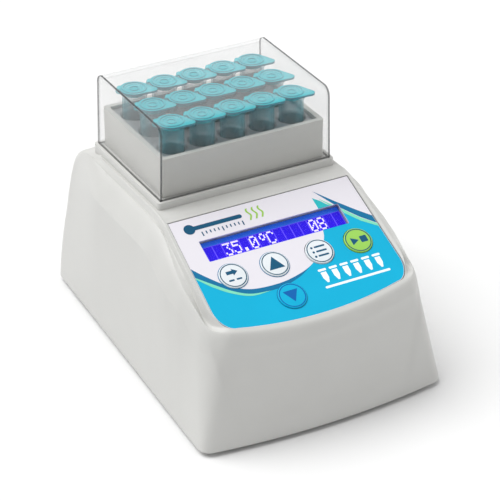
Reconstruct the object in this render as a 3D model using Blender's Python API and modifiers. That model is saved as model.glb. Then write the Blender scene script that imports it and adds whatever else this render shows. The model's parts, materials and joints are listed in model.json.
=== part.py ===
"""Compact dry block heater for fifteen small tubes, built as an assembly of separate parts.

All dimensions below are in millimetres, and MM turns them into Blender's metres when a mesh is made.
X runs to the right as the user sees the control panel, Y to the back, Z up. The origin is on the
surface that the feet stand on, under the middle of the bounding box.
"""

import math

import bmesh
import bpy
import numpy as np
from mathutils import Vector

MM = 0.001

# Overall layout
FOOT_DROP = 2.0             # housing's lower edge above the bench
BLOCK_Y = 21.0              # centre of the heat block
LEDGE_Z = FOOT_DROP + 79.9  # top of the plinth, where the lid stands
DECK_Z = LEDGE_Z - 3.3      # flat top around the plinth
GAP = 0.3                   # clearance between neighbouring pieces
WALL = 2.8                  # housing wall

# Housing outline at its lower edge, and at the shoulder
BASE_FRONT_Y, BASE_BACK_Y = -78.3, 81.9
BASE_FRONT_HALF, BASE_BACK_HALF = 58.4, 50.1
BASE_BULGE = 5.1
SHOULDER_FRONT_Y, SHOULDER_BACK_Y = -71.0, 71.0
SHOULDER_BULGE = 7.0
SHOULDER_Y = (-72.0, -65.0, -55.0, -47.0, -38.0, -25.0, -9.0, 20.0, 71.0)
SHOULDER_HALF = (48.8, 49.9, 50.4, 50.7, 49.9, 47.3, 46.2, 45.8, 45.5)
BACK_SHOULDER_Z = FOOT_DROP + 73.0
BACK_BULGE, BACK_BOW = 1.5, 2.4
CROWN_FRONT_Y, CROWN_BACK_Y = -68.0, 49.0   # where the round shoulder meets the deck
CROWN_REACH = 2.3
CROWN_RISE = 0.7            # height of the shoulder above the lip, beside the panel
CROWN_FADE = 10.0           # distance behind the panel in which that height falls to nothing
BACK_BLEND_Y, BACK_BLEND = 35.0, 33.0       # where the side's shoulder turns into the back's
FRONT_BLEND_Y, FRONT_BLEND = -62.0, 8.0     # where it turns into the front's
SPINE_FRONT_Y, SPINE_BACK_Y = -60.0, 44.0   # ends of the deck's middle line
SIDE_DROP, FRONT_DROP, BACK_DROP = 14.0, 7.0, 34.0  # how far down the wall the shoulder starts

# Control panel: a plane that slopes down to the front from its top edge
PANEL_SLOPE = math.radians(25.2)
PANEL_TOP_Y = BLOCK_Y - 41.1
PANEL_TOP_Z = FOOT_DROP + 75.4
PANEL_LIP = 0.9             # housing's rim above the overlay
OVERLAY_TOP_HALF, OVERLAY_LOW_HALF = 43.0, 44.7
OVERLAY_SIDE, OVERLAY_LENGTH = 46.0, 60.6
OVERLAY_BOTTOM_BULGE = 4.2
OVERLAY_CORNER = 7.0
OVERLAY_THICK = 0.5
POCKET_DEPTH = 0.8
DECK_BEND_Y = (PANEL_TOP_Y, PANEL_TOP_Y + 5.0)

# Stations round the housing's outline
CORNER_STEPS = 4
FRONT_STRAIGHT, BACK_STRAIGHT = 0.88, 0.9
SIDE_FRACTIONS = (0.05, 0.15, 0.27, 0.358, 0.394, 0.425, 0.55, 0.7, 0.85, 0.97)

# Display and buttons, as (across, down the slope) from the middle of the panel's top edge
LCD_WINDOW = (66.0, 10.2)
LCD_CENTRE = (-1.2, 17.5)
WINDOW_HOLE_MARGIN = 0.9    # housing's opening round the window's lens
LENS_Z = (-0.9, -0.1)
BEZEL_Z = (-6.9, -2.1)
BEZEL_FACE = 0.5
BEZEL_OUTER, BEZEL_INNER, BEZEL_OPEN = 3.2, 2.6, 0.5    # beyond the window, as the next value
LCD_MARGIN = 2.3
LCD_Z = (-5.65, -2.75)
BUTTON_RADIUS = 6.2
BUTTONS = {
    "button_shift": (-28.3, 32.4),
    "button_up": (-8.8, 32.4),
    "button_program": (12.6, 32.4),
    "button_start_stop": (31.3, 32.4),
    "button_down": (-9.0, 49.1),
}
BUTTON_PROUD = 0.6
BUTTON_SKIRT_END = -1.6
STEM_RADIUS, STEM_END = 1.9, -5.4
SWITCH_HALF, SWITCH_TOP = 3.0, -7.2
PLUNGER_RADIUS, PLUNGER_TRAVEL = 1.7, 0.7
BOARD_DEPTH = 10.5          # display board's face below the overlay's face
BOARD_THICK = 1.6
DISPLAY_BOARD_HALF = 41.5
DISPLAY_BOARD_SPAN = (6.0, 56.0)            # down the slope
HEADER_SPAN, HEADER_HALF = (47.0, 52.0), 8.0
HEADER_DROP, HEADER_HEIGHT = 4.0, 6.0       # on the display board, on the main board

# Block, tubes and lid
BLOCK_HALF = (36.3, 25.7)
BLOCK_TOP = LEDGE_Z + 16.8
BLOCK_BOTTOM = LEDGE_Z - 19.2
PITCH_X, PITCH_Y = 14.35, 17.5
COLUMNS, ROWS = 5, 3
QUADRANTS = ((-1, -1), (1, -1), (-1, 1), (1, 1))
TUBE_RADIUS = 5.4
TUBE_TOP = LEDGE_Z + 29.6
TUBE_TURN = math.radians(-34.0)
WELL_RADIUS = 5.8
PLINTH_HALF = (42.4, 31.6)
SKIRT_HALF = (37.8, 27.3)   # collar's lower part, in the housing's opening
COLLAR_HALF = (38.9, 28.2)
COLLAR_TOP = LEDGE_Z + 18.2
LID_HALF = (41.0, 30.2)
LID_HEIGHT = 33.7
LID_END, LID_SHEET = 1.8, 1.6
LID_BEND = 4.0

# Screw bosses in the housing
BOSS_RADIUS, PILOT_RADIUS, PILOT_DEPTH = 4.2, 1.7, 16.0
BOSS_FOOT = FOOT_DROP + 3.5

# Heater stack under the block
PLATE_HALF = (36.0, 25.4)
PLATE_THICK = 6.0
PLATE_TOP = BLOCK_BOTTOM - GAP
MAT_HALF = (28.5, 23.0)
MAT_THICK = 1.6
PAD_THICK = 8.0
COLUMN_AT = (32.6, 22.0)
COLUMN_RADIUS, COLUMN_BORE, COLUMN_BORE_DEPTH = 3.6, 1.5, 12.0
PLATE_HOLE, PLATE_SEAT, PLATE_SEAT_DEPTH = 1.7, 3.2, 2.4
PLATE_SCREW_HEAD, PLATE_SCREW_SHANK, PLATE_SCREW_REACH = 2.8, 1.2, 7.0
SENSOR_X, SENSOR_RADIUS, SENSOR_HALF = 12.0, 1.9, 11.0
SENSOR_DEPTH = 9.0          # from the plate's front face to the middle of the probe
CUTOFF_X = (-20.0, -8.0)
CUTOFF_EAR = 4.0            # how far each ear reaches beside the cut-off

# Tubes: straight length below the cap's top, whole length, radii, cap and tab
TUBE_STRAIGHT, TUBE_LENGTH = 22.0, 40.3
TUBE_TIP_RADIUS, TUBE_RIM = 1.9, 6.1
TUBE_SIDES = 16
CAP_RADIUS, TAB_RADIUS, TAB_REACH = 6.3, 2.0, 8.1

# Main board
MAIN_BOARD_Z = FOOT_DROP + 9.0
MAIN_BOARD_HALF = (38.0, 22.0)
BOARD_Y = -44.0
BOARD_POST_AT = (34.0, 18.0)
POST_RADIUS = 3.0
TERMINAL_HEIGHT = 9.0

# Base and rear
FLOOR_THICK = 3.0
FLOOR_INSET = 1.3           # the walls lean in as they rise
FOOT_AT = ((-44.0, -64.0), (44.0, -64.0), (-39.0, 70.0), (39.0, 70.0))
FOOT_RADIUS, FOOT_SEAT = 6.0, 1.0
SCREW_AT = ((-46.5, -46.0), (46.5, -46.0), (-43.5, 53.0), (43.5, 53.0))
BOSS_TOP = (52.0, 52.0, 38.0, 38.0)
BASE_HOLE, BASE_SEAT, BASE_SEAT_DEPTH = 1.8, 3.3, 1.6
BASE_SCREW_HEAD, BASE_SCREW_SHANK, BASE_SCREW_REACH = 2.9, 1.3, 14.0
SCREW_POINT = 0.6
REAR_PANEL_HALF = 30.0
REAR_PANEL_Z = (FOOT_DROP + 8.0, FOOT_DROP + 36.0)
REAR_PANEL_Y = 77.5
REAR_PANEL_THICK = 1.6
SWITCH_AT = (-15.0, FOOT_DROP + 22.0)
JACK_AT = (14.0, FOOT_DROP + 22.0)
SWITCH_FRAME_HALF = (9.4, 6.2)
SWITCH_FLANGE_HALF = (11.0, 7.8)
SWITCH_MOUTH_HALF = (7.6, 4.6)
SWITCH_HOLE_MARGIN = 0.4
ROCKER_HALF_WIDTH = 4.2
ROCKER_OUTLINE = ((-6.9, 2.6), (0.0, 1.4), (6.9, 2.6), (6.9, -0.8), (1.6, -4.2), (-1.6, -4.2), (-6.9, -0.8))
JACK_RADIUS, JACK_BORE, JACK_PIN, JACK_NUT = 4.1, 2.9, 1.0, 5.6
ROCKER_AXIS_Y = REAR_PANEL_Y + 0.6
ROCKER_TILT = math.radians(8.0)

COLOURS = {
    "housing_plastic": ((0.60, 0.60, 0.58), 0.45, 0.0),
    "base_plastic": ((0.32, 0.32, 0.32), 0.55, 0.0),
    "collar_plastic": ((0.48, 0.48, 0.46), 0.50, 0.0),
    "clear_acrylic": ((0.92, 0.94, 0.95), 0.05, 0.0),
    "tube_plastic": ((0.05, 0.42, 0.50), 0.25, 0.0),
    "aluminium": ((0.62, 0.63, 0.64), 0.35, 1.0),
    "overlay_film": ((0.80, 0.80, 0.84), 0.35, 0.0),
    "button_film": ((0.82, 0.82, 0.84), 0.35, 0.0),
    "start_button_film": ((0.30, 0.62, 0.08), 0.35, 0.0),
    "lcd_glass": ((0.05, 0.02, 0.75), 0.10, 0.0),
    "steel": ((0.55, 0.55, 0.56), 0.30, 1.0),
    "circuit_board": ((0.02, 0.18, 0.07), 0.50, 0.0),
    "black_plastic": ((0.02, 0.02, 0.02), 0.45, 0.0),
    "rubber": ((0.03, 0.03, 0.03), 0.85, 0.0),
    "silicone": ((0.55, 0.12, 0.04), 0.60, 0.0),
    "foam": ((0.75, 0.74, 0.70), 0.95, 0.0),
    "cable_red": ((0.55, 0.03, 0.02), 0.50, 0.0),
    "cable_grey": ((0.35, 0.35, 0.36), 0.50, 0.0),
}


# --- Scene, materials and small helpers -------------------------------------------------------

def clear_scene():
    """Remove whatever the startup file holds."""
    for obj in list(bpy.data.objects):
        bpy.data.objects.remove(obj, do_unlink=True)


def new_collection(name):
    """A collection under the scene's own."""
    collection = bpy.data.collections.new(name)
    bpy.context.scene.collection.children.link(collection)
    return collection


def make_material(name):
    """A Principled BSDF with the named colour, roughness and metallic value."""
    colour, roughness, metallic = COLOURS[name]
    material = bpy.data.materials.new(name)
    material.use_nodes = True
    shader = material.node_tree.nodes["Principled BSDF"]
    shader.inputs["Base Color"].default_value = (*colour, 1.0)
    shader.inputs["Roughness"].default_value = roughness
    shader.inputs["Metallic"].default_value = metallic
    material.diffuse_color = (*colour, 1.0)
    return material


def add_object(name, mesh, material=None, parent=None):
    """Link a mesh as a finished part, or as a hidden cutter when it has no material."""
    obj = bpy.data.objects.new(name, mesh)
    if material is None:
        CUTTERS.objects.link(obj)
        obj.hide_render = True
        obj.display_type = "WIRE"
    else:
        PARTS.objects.link(obj)
        mesh.materials.append(MATERIALS[material])
        mesh.shade_smooth()
        mesh.set_sharp_from_angle(angle=math.radians(35.0))
    obj.parent = parent
    return obj


def mesh_from(build):
    """A new mesh filled by build(bm)."""
    bm = bmesh.new()
    build(bm)
    bmesh.ops.recalc_face_normals(bm, faces=bm.faces)
    mesh = bpy.data.meshes.new("shape")
    bm.to_mesh(mesh)
    bm.free()
    return mesh


def box(name, low, high, material=None, parent=None, bevel=0.0, segments=2):
    """A box between two corners, with rounded edges if bevel is given."""
    low, high = Vector(low) * MM, Vector(high) * MM
    size, centre = high - low, (high + low) / 2

    def build(bm):
        bmesh.ops.create_cube(bm, size=1.0)
        bmesh.ops.scale(bm, vec=size, verts=bm.verts)

    obj = add_object(name, mesh_from(build), material, parent)
    obj.location = centre
    if bevel:
        add_bevel(obj, bevel, segments)
    return obj


def add_bevel(obj, width, segments=2):
    """Round the sharp edges of an object."""
    modifier = obj.modifiers.new("Bevel", "BEVEL")
    modifier.width = width * MM
    modifier.segments = segments
    modifier.limit_method = "ANGLE"
    modifier.angle_limit = math.radians(40.0)


def cylinder(name, radius, low, high, centre, material=None, parent=None, sides=24):
    """An upright cylinder at centre (x, y), from z = low to z = high."""
    def build(bm):
        bmesh.ops.create_cone(
            bm, cap_ends=True, segments=sides,
            radius1=radius * MM, radius2=radius * MM, depth=(high - low) * MM,
        )

    obj = add_object(name, mesh_from(build), material, parent)
    obj.location = (centre[0] * MM, centre[1] * MM, (low + high) / 2 * MM)
    return obj


def lathe(name, profile, material=None, parent=None, steps=16):
    """Turn a profile of (radius, z), given down its outer side, about the local Z axis."""
    mesh = bpy.data.meshes.new(name)
    points = [(r * MM, 0.0, z * MM) for r, z in profile]
    edges = [(i, i + 1) for i in range(len(points) - 1)]
    mesh.from_pydata(points, edges, [])
    obj = bpy.data.objects.new(name, mesh)
    screw = obj.modifiers.new("Screw", "SCREW")
    screw.steps = steps
    screw.render_steps = steps
    screw.use_merge_vertices = True
    screw.merge_threshold = 0.00001
    bpy.context.scene.collection.objects.link(obj)
    turned = realise(obj)
    return add_object(name, turned, material, parent)


def realise(obj):
    """The evaluated mesh of an object, welded, with the object removed."""
    bpy.context.view_layer.update()
    evaluated = obj.evaluated_get(bpy.context.evaluated_depsgraph_get())
    mesh = bpy.data.meshes.new_from_object(evaluated)
    bpy.data.objects.remove(obj, do_unlink=True)
    bm = bmesh.new()
    bm.from_mesh(mesh)
    bmesh.ops.remove_doubles(bm, verts=bm.verts, dist=0.000002)
    bmesh.ops.recalc_face_normals(bm, faces=bm.faces)
    bm.to_mesh(mesh)
    bm.free()
    return mesh


def plate(name, outline, low, high, material=None, parent=None):
    """A flat outline of (x, y) points, thickened from z = low to z = high."""
    curve = bpy.data.curves.new(name, "CURVE")
    curve.dimensions = "2D"
    curve.fill_mode = "BOTH"
    curve.extrude = (high - low) / 2 * MM
    spline = curve.splines.new("POLY")
    spline.points.add(len(outline) - 1)
    for point, (x, y) in zip(spline.points, outline):
        point.co = (x * MM, y * MM, 0.0, 1.0)
    spline.use_cyclic_u = True
    guide = bpy.data.objects.new(name, curve)
    bpy.context.scene.collection.objects.link(guide)
    obj = add_object(name, realise(guide), material, parent)
    obj.location.z = (low + high) / 2 * MM
    return obj


def wire(name, route, radius, material):
    """A wire held inside the housing, along a smooth line through its route."""
    curve = bpy.data.curves.new(name, "CURVE")
    curve.dimensions = "3D"
    curve.bevel_depth = radius * MM
    curve.bevel_resolution = 2
    curve.use_fill_caps = True
    points = smooth_route(route, 5)
    spline = curve.splines.new("POLY")
    spline.points.add(len(points) - 1)
    for point, place in zip(spline.points, points):
        point.co = (*(place * MM), 1.0)
    guide = bpy.data.objects.new(name, curve)
    bpy.context.scene.collection.objects.link(guide)
    return add_object(name, realise(guide), material)


def smooth_route(route, steps):
    """Points on a Catmull-Rom curve through a route, with so many steps between its points."""
    places = [np.array(p, float) for p in route]
    ends = [2 * places[0] - places[1], *places, 2 * places[-1] - places[-2]]
    points = []
    for before, start, end, after in zip(ends, ends[1:], ends[2:], ends[3:]):
        for step in range(steps):
            t = step / steps
            points.append(0.5 * (
                2 * start + (end - before) * t
                + (2 * before - 5 * start + 4 * end - after) * t ** 2
                + (3 * start - before - 3 * end + after) * t ** 3
            ))
    return [*points, places[-1]]


def combine(obj, other, operation):
    """Join or cut an object with a hidden one."""
    modifier = obj.modifiers.new(operation.title(), "BOOLEAN")
    modifier.operation = operation
    modifier.object = other
    modifier.solver = "EXACT"


def cut(obj, *cutters):
    """Cut each cutter out of an object."""
    for cutter in cutters:
        combine(obj, cutter, "DIFFERENCE")


def join(obj, *others):
    """Fuse hidden pieces onto an object, as features of the same part."""
    for other in others:
        combine(obj, other, "UNION")


def arc(centre, radius, start, end, steps):
    """Points on an arc, with its angles in degrees."""
    angles = np.radians(np.linspace(start, end, steps + 1))
    return [(centre[0] + radius * math.cos(a), centre[1] + radius * math.sin(a)) for a in angles]


# --- Housing shape ----------------------------------------------------------------------------

def deck_height(y):
    """Height of the housing's top surface at a distance y, before the plinth is added."""
    if y > PANEL_TOP_Y:
        return float(np.interp(y, DECK_BEND_Y, (PANEL_TOP_Z + PANEL_LIP, DECK_Z)))
    return PANEL_TOP_Z + PANEL_LIP + (y - PANEL_TOP_Y) * math.tan(PANEL_SLOPE)


def shoulder_rise(y):
    """Height of the shoulder above the deck: some beside the panel, none further back."""
    return np.interp(y, (PANEL_TOP_Y, PANEL_TOP_Y + CROWN_FADE), (CROWN_RISE, 0.0))


def base_half(y):
    """Half-width of the lower edge at y."""
    return np.interp(y, (BASE_FRONT_Y, BASE_BACK_Y), (BASE_FRONT_HALF, BASE_BACK_HALF))


def shoulder_half(y):
    """Half-width at the shoulder at y."""
    return np.interp(y, SHOULDER_Y, SHOULDER_HALF)


def ring_stations():
    """Places round the housing, as (stretch, fraction, sign): front, right side, back, left side."""
    corner = np.linspace(0, 1, CORNER_STEPS + 2)[1:-1]
    right = [("front_corner", f, 1) for f in corner]
    right += [("side", f, 1) for f in SIDE_FRACTIONS]
    right += [("back_corner", f, 1) for f in corner]
    left = [(kind, f, -1) for kind, f, _ in reversed(right)]
    front = [("front", f, 1) for f in np.linspace(-FRONT_STRAIGHT, FRONT_STRAIGHT, 9)]
    back = [("back", f, 1) for f in np.linspace(BACK_STRAIGHT, -BACK_STRAIGHT, 5)]
    return front + right + back + left


def outline_point(station, front_y, back_y, half_at, bulge):
    """Point of a four-sided outline with round corners at a station."""
    kind, fraction, sign = station

    def front(f):
        return np.array([half_at(front_y) * f, front_y - bulge * (1 - f * f)])

    def side(f):
        y = front_y + (back_y - front_y) * f
        return np.array([half_at(y), y])

    def back(f):
        return np.array([half_at(back_y) * f, back_y + BACK_BULGE * (1 - f * f)])

    def corner(start, apex, end):
        return (1 - fraction) ** 2 * start + 2 * fraction * (1 - fraction) * apex + fraction ** 2 * end

    if kind == "front":
        return front(fraction)
    if kind == "back":
        return back(fraction)
    if kind == "side":
        point = side(fraction)
    elif kind == "front_corner":
        point = corner(front(FRONT_STRAIGHT), side(0.0), side(SIDE_FRACTIONS[0]))
    else:
        point = corner(side(SIDE_FRACTIONS[-1]), side(1.0), back(BACK_STRAIGHT))
    return np.array([point[0] * sign, point[1]])


def quadratic(start, middle, end, t):
    """Point on the curve from start to end that is drawn towards middle."""
    return (1 - t) ** 2 * start + 2 * t * (1 - t) * middle + t ** 2 * end


def wall_section(station, inset):
    """Points up the wall at a station, from the lower edge over the shoulder to the middle of the deck."""
    base = outline_point(station, BASE_FRONT_Y + inset, BASE_BACK_Y - inset,
                         lambda y: base_half(y) - inset, BASE_BULGE)
    knee = outline_point(station, SHOULDER_FRONT_Y + inset, SHOULDER_BACK_Y - inset,
                         lambda y: shoulder_half(y) - inset, SHOULDER_BULGE)
    crown = outline_point(station, CROWN_FRONT_Y + inset, CROWN_BACK_Y - inset,
                          lambda y: shoulder_half(y) - CROWN_REACH - inset, SHOULDER_BULGE)
    backness = np.clip((knee[1] - BACK_BLEND_Y) / BACK_BLEND, 0.0, 1.0) ** 2
    frontness = np.clip((FRONT_BLEND_Y - knee[1]) / FRONT_BLEND, 0.0, 1.0)
    knee_z = deck_height(knee[1]) * (1 - backness) + BACK_SHOULDER_Z * backness
    base = np.array([*base, FOOT_DROP - inset])
    knee = np.array([*knee, knee_z + shoulder_rise(knee[1]) - inset])
    crown = np.array([*crown, deck_height(crown[1]) + shoulder_rise(crown[1]) - inset])
    spine_y = np.clip(crown[1], SPINE_FRONT_Y, SPINE_BACK_Y)
    spine = np.array([0.0, spine_y, deck_height(spine_y) - inset])
    drop = SIDE_DROP + (FRONT_DROP - SIDE_DROP) * frontness + (BACK_DROP - SIDE_DROP) * backness
    start = knee + (base - knee) * drop / (knee[2] - base[2])
    bow = (start + base) / 2 + np.array([0.0, BACK_BOW * backness, 0.0])
    lower = [quadratic(base, bow, start, t) for t in (0.0, 0.35, 0.7, 1.0)]
    upper = [quadratic(start, knee, crown, t) for t in (0.3, 0.55, 0.78, 1.0)]
    return [*lower, *upper, spine]


def housing_body(name, inset=0.0, material=None):
    """The housing's solid outer form, or the same form moved in by a wall's thickness."""
    sections = [wall_section(station, inset) for station in ring_stations()]

    def build(bm):
        rows = [[bm.verts.new(Vector(p) * MM) for p in section] for section in sections]
        for row, after in zip(rows, rows[1:] + rows[:1]):
            for a, b, c, d in zip(row, after, after[1:], row[1:]):
                bm.faces.new((a, b, c, d))
        bm.faces.new([row[0] for row in reversed(rows)])
        bmesh.ops.remove_doubles(bm, verts=bm.verts, dist=0.00002)
        bmesh.ops.dissolve_degenerate(bm, dist=0.00001, edges=bm.edges)
        bmesh.ops.triangulate(bm, faces=bm.faces)

    return add_object(name, mesh_from(build), material)


def overlay_outline(margin=0.0):
    """Outline of the control overlay on the panel's plane, widened by a margin."""
    top, low = OVERLAY_TOP_HALF + margin, OVERLAY_LOW_HALF + margin
    corner = low - OVERLAY_CORNER
    end = OVERLAY_LENGTH + margin

    def bottom(x):
        return end - OVERLAY_BOTTOM_BULGE * (x / corner) ** 2

    right = [(top, margin), (low, -OVERLAY_SIDE)]
    depth = bottom(corner) - OVERLAY_SIDE
    turn = [(corner + OVERLAY_CORNER * math.cos(a), -OVERLAY_SIDE - depth * math.sin(a))
            for a in np.radians((22.5, 45.0, 67.5))]
    curve = [(x, -bottom(x)) for x in np.linspace(corner, -corner, 13)]
    left = [(-x, y) for x, y in reversed(turn)] + [(-x, y) for x, y in reversed(right)]
    return right + turn + curve + left


def rear_cut():
    """Opening in the back wall for the rear panel."""
    low_z, high_z = REAR_PANEL_Z
    return box("rear_cut", (-REAR_PANEL_HALF - GAP, REAR_PANEL_Y - 12, low_z - GAP),
               (REAR_PANEL_HALF + GAP, REAR_PANEL_Y + 12, high_z + GAP))


def upper_housing():
    """Moulded shell with plinth, sloped panel seat, screw bosses and openings."""
    housing = housing_body("upper_housing", material="housing_plastic")
    plinth = box("plinth", (-PLINTH_HALF[0], BLOCK_Y - PLINTH_HALF[1], DECK_Z - 6),
                 (PLINTH_HALF[0], BLOCK_Y + PLINTH_HALF[1], LEDGE_Z))
    join(housing, plinth)
    cut(housing, housing_body("housing_hollow", inset=WALL))
    for index, (place, top) in enumerate(zip(SCREW_AT, BOSS_TOP)):
        join(housing, cylinder(f"boss_{index}", BOSS_RADIUS, BOSS_FOOT, top, place, sides=12))
        pilot_end = BOSS_FOOT + PILOT_DEPTH
        cut(housing, cylinder(f"boss_pilot_{index}", PILOT_RADIUS, 0, pilot_end, place, sides=10))
    opening = box("block_opening", (-SKIRT_HALF[0] - GAP, BLOCK_Y - SKIRT_HALF[1] - GAP, DECK_Z - 12),
                  (SKIRT_HALF[0] + GAP, BLOCK_Y + SKIRT_HALF[1] + GAP, LEDGE_Z + 5))
    pocket = plate("overlay_pocket", overlay_outline(GAP), -POCKET_DEPTH, 4.0, parent=PANEL)
    window = box("window_hole", (*lcd_corner(-1, WINDOW_HOLE_MARGIN), -6),
                 (*lcd_corner(1, WINDOW_HOLE_MARGIN), 3), parent=PANEL)
    cut(housing, opening, pocket, window, rear_cut())
    for name, (across, down) in BUTTONS.items():
        cut(housing, cylinder(f"{name}_hole", BUTTON_RADIUS + GAP, -6, 3, (across, -down), parent=PANEL))
    return housing


def lcd_corner(sign, margin):
    """Corner of the display window on the panel, with sign -1 for the low one and 1 for the high one."""
    width, height = LCD_WINDOW
    return (LCD_CENTRE[0] + sign * (width / 2 + margin), -LCD_CENTRE[1] + sign * (height / 2 + margin))


# --- Casing parts -----------------------------------------------------------------------------

def base_outline(inset):
    """Outline of the housing's lower edge, moved in."""
    return [outline_point(station, BASE_FRONT_Y + inset, BASE_BACK_Y - inset,
                          lambda y: base_half(y) - inset, BASE_BULGE) for station in ring_stations()]


def base_plate():
    """Floor with columns for the heater, posts for the main board, and seats for feet and screws."""
    base = plate("base_plate", base_outline(WALL + FLOOR_INSET), FOOT_DROP, FOOT_DROP + FLOOR_THICK,
                 "base_plastic")
    root = FOOT_DROP + 1.0
    column_top = PLATE_TOP - PLATE_THICK - GAP
    for index, (sign_x, sign_y) in enumerate(QUADRANTS):
        column = (sign_x * COLUMN_AT[0], BLOCK_Y + sign_y * COLUMN_AT[1])
        join(base, cylinder(f"column_{index}", COLUMN_RADIUS, root, column_top, column, sides=10))
        bore_end = column_top - COLUMN_BORE_DEPTH
        cut(base, cylinder(f"column_bore_{index}", COLUMN_BORE, bore_end, column_top + 1, column, sides=8))
        post = (sign_x * BOARD_POST_AT[0], BOARD_Y + sign_y * BOARD_POST_AT[1])
        join(base, cylinder(f"post_{index}", POST_RADIUS, root, MAIN_BOARD_Z - GAP, post, sides=10))
    foot_seat, screw_seat = FOOT_DROP + FOOT_SEAT, FOOT_DROP + BASE_SEAT_DEPTH
    for index, place in enumerate(FOOT_AT):
        cut(base, cylinder(f"foot_seat_{index}", FOOT_RADIUS + GAP, -1, foot_seat, place, sides=16))
    for index, place in enumerate(SCREW_AT):
        cut(base, cylinder(f"screw_hole_{index}", BASE_HOLE, -1, FOOT_DROP + 5, place, sides=10))
        cut(base, cylinder(f"screw_seat_{index}", BASE_SEAT, -1, screw_seat, place, sides=12))
    return base


def rubber_feet():
    """Four round feet, each in its seat under the base plate."""
    for index, (x, y) in enumerate(FOOT_AT):
        top = FOOT_DROP + FOOT_SEAT - GAP
        profile = [(0, top), (FOOT_RADIUS, top), (FOOT_RADIUS, 0.6), (FOOT_RADIUS - 0.7, 0), (0, 0)]
        foot = lathe(f"foot_{index + 1}", profile, "rubber", steps=16)
        foot.location = (x * MM, y * MM, 0)


def screw(name, place, head, head_radius, shank_radius, tip):
    """A pan-head screw: its head lies between two heights, and its shank goes up or down to its tip."""
    low, high = head
    if tip > high:
        profile = [(0, tip), (shank_radius, tip - SCREW_POINT), (shank_radius, high),
                   (head_radius, high), (head_radius, low), (0, low)]
    else:
        profile = [(0, high), (head_radius, high), (head_radius, low),
                   (shank_radius, low), (shank_radius, tip + SCREW_POINT), (0, tip)]
    obj = lathe(name, profile, "steel", steps=10)
    obj.location = (place[0] * MM, place[1] * MM, 0)


def base_screws():
    """Four screws up through the base plate into the housing's bosses."""
    head = (FOOT_DROP - 0.6, FOOT_DROP + BASE_SEAT_DEPTH - GAP)
    for index, place in enumerate(SCREW_AT):
        screw(f"base_screw_{index + 1}", place, head, BASE_SCREW_HEAD, BASE_SCREW_SHANK,
              FOOT_DROP + BASE_SCREW_REACH)


def block_surround():
    """Collar round the heat block: its skirt goes down into the housing, its rim stands on the plinth."""
    collar = box("block_surround", (-COLLAR_HALF[0], BLOCK_Y - COLLAR_HALF[1], LEDGE_Z + GAP),
                 (COLLAR_HALF[0], BLOCK_Y + COLLAR_HALF[1], COLLAR_TOP), "collar_plastic", bevel=0.8)
    skirt = box("collar_skirt", (-SKIRT_HALF[0], BLOCK_Y - SKIRT_HALF[1], BLOCK_BOTTOM + 1),
                (SKIRT_HALF[0], BLOCK_Y + SKIRT_HALF[1], COLLAR_TOP - 4))
    well = box("collar_well", (-BLOCK_HALF[0] - GAP, BLOCK_Y - BLOCK_HALF[1] - GAP, BLOCK_BOTTOM - 5),
               (BLOCK_HALF[0] + GAP, BLOCK_Y + BLOCK_HALF[1] + GAP, COLLAR_TOP + 5))
    join(collar, skirt)
    cut(collar, well)
    return collar


def clear_lid():
    """Clear cover: one sheet bent over the front, top and back, with a flat plate at each end."""
    def sheet(half_y, top, bend):
        """Outline of the bent sheet, or of its inside, in Y and Z."""
        low = LEDGE_Z
        return (
            [(BLOCK_Y + half_y, low)] + arc((BLOCK_Y + half_y - bend, top - bend), bend, 0, 90, 4)
            + arc((BLOCK_Y - half_y + bend, top - bend), bend, 90, 180, 4) + [(BLOCK_Y - half_y, low)]
        )

    top = LEDGE_Z + LID_HEIGHT
    lid = plate("clear_lid", sheet(LID_HALF[1], top, LID_BEND), -LID_HALF[0], LID_HALF[0], "clear_acrylic")
    inner = sheet(LID_HALF[1] - LID_SHEET, top - LID_SHEET, LID_BEND - LID_SHEET)
    inside = [(y, z if z > LEDGE_Z else z - 5) for y, z in inner]
    hollow = plate("lid_hollow", inside, LID_END - LID_HALF[0], LID_HALF[0] - LID_END)
    stand_along_x(lid)
    stand_along_x(hollow)
    cut(lid, hollow)
    return lid


# --- Block and tubes --------------------------------------------------------------------------

def tube_places():
    """Tube number and axis (x, y), row by row from the front left."""
    for row in range(ROWS):
        for column in range(COLUMNS):
            x = (column - (COLUMNS - 1) / 2) * PITCH_X
            y = BLOCK_Y + (row - (ROWS - 1) / 2) * PITCH_Y
            yield row * COLUMNS + column + 1, (x, y)


def heat_block():
    """Aluminium block with a tapered well for each tube."""
    block = box("heat_block", (-BLOCK_HALF[0], BLOCK_Y - BLOCK_HALF[1], BLOCK_BOTTOM),
                (BLOCK_HALF[0], BLOCK_Y + BLOCK_HALF[1], BLOCK_TOP), "aluminium", bevel=0.6, segments=1)
    shape = [(0, BLOCK_TOP + 1), (WELL_RADIUS, BLOCK_TOP + 1), (WELL_RADIUS, TUBE_TOP - TUBE_STRAIGHT - 0.2),
             (TUBE_TIP_RADIUS + 0.9, TUBE_TOP - TUBE_LENGTH + 1.0), (0, TUBE_TOP - TUBE_LENGTH - 0.6)]
    well = lathe("well_cutter", shape, steps=TUBE_SIDES)
    for number, (x, y) in tube_places():
        cutter = well if number == 1 else add_object(f"well_cutter_{number}", well.data)
        cutter.location = (x * MM, y * MM, 0)
        cutter.rotation_euler.z = TUBE_TURN
        cut(block, cutter)
    return block


def cap_outline():
    """Outline of a tube's cap, a disc with a rounded thumb tab towards +X."""
    lean = math.degrees(math.acos((CAP_RADIUS - TAB_RADIUS) / TAB_REACH))
    return arc((TAB_REACH, 0), TAB_RADIUS, -lean, lean, 5) + arc((0, 0), CAP_RADIUS, lean, 360 - lean, 14)


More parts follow.
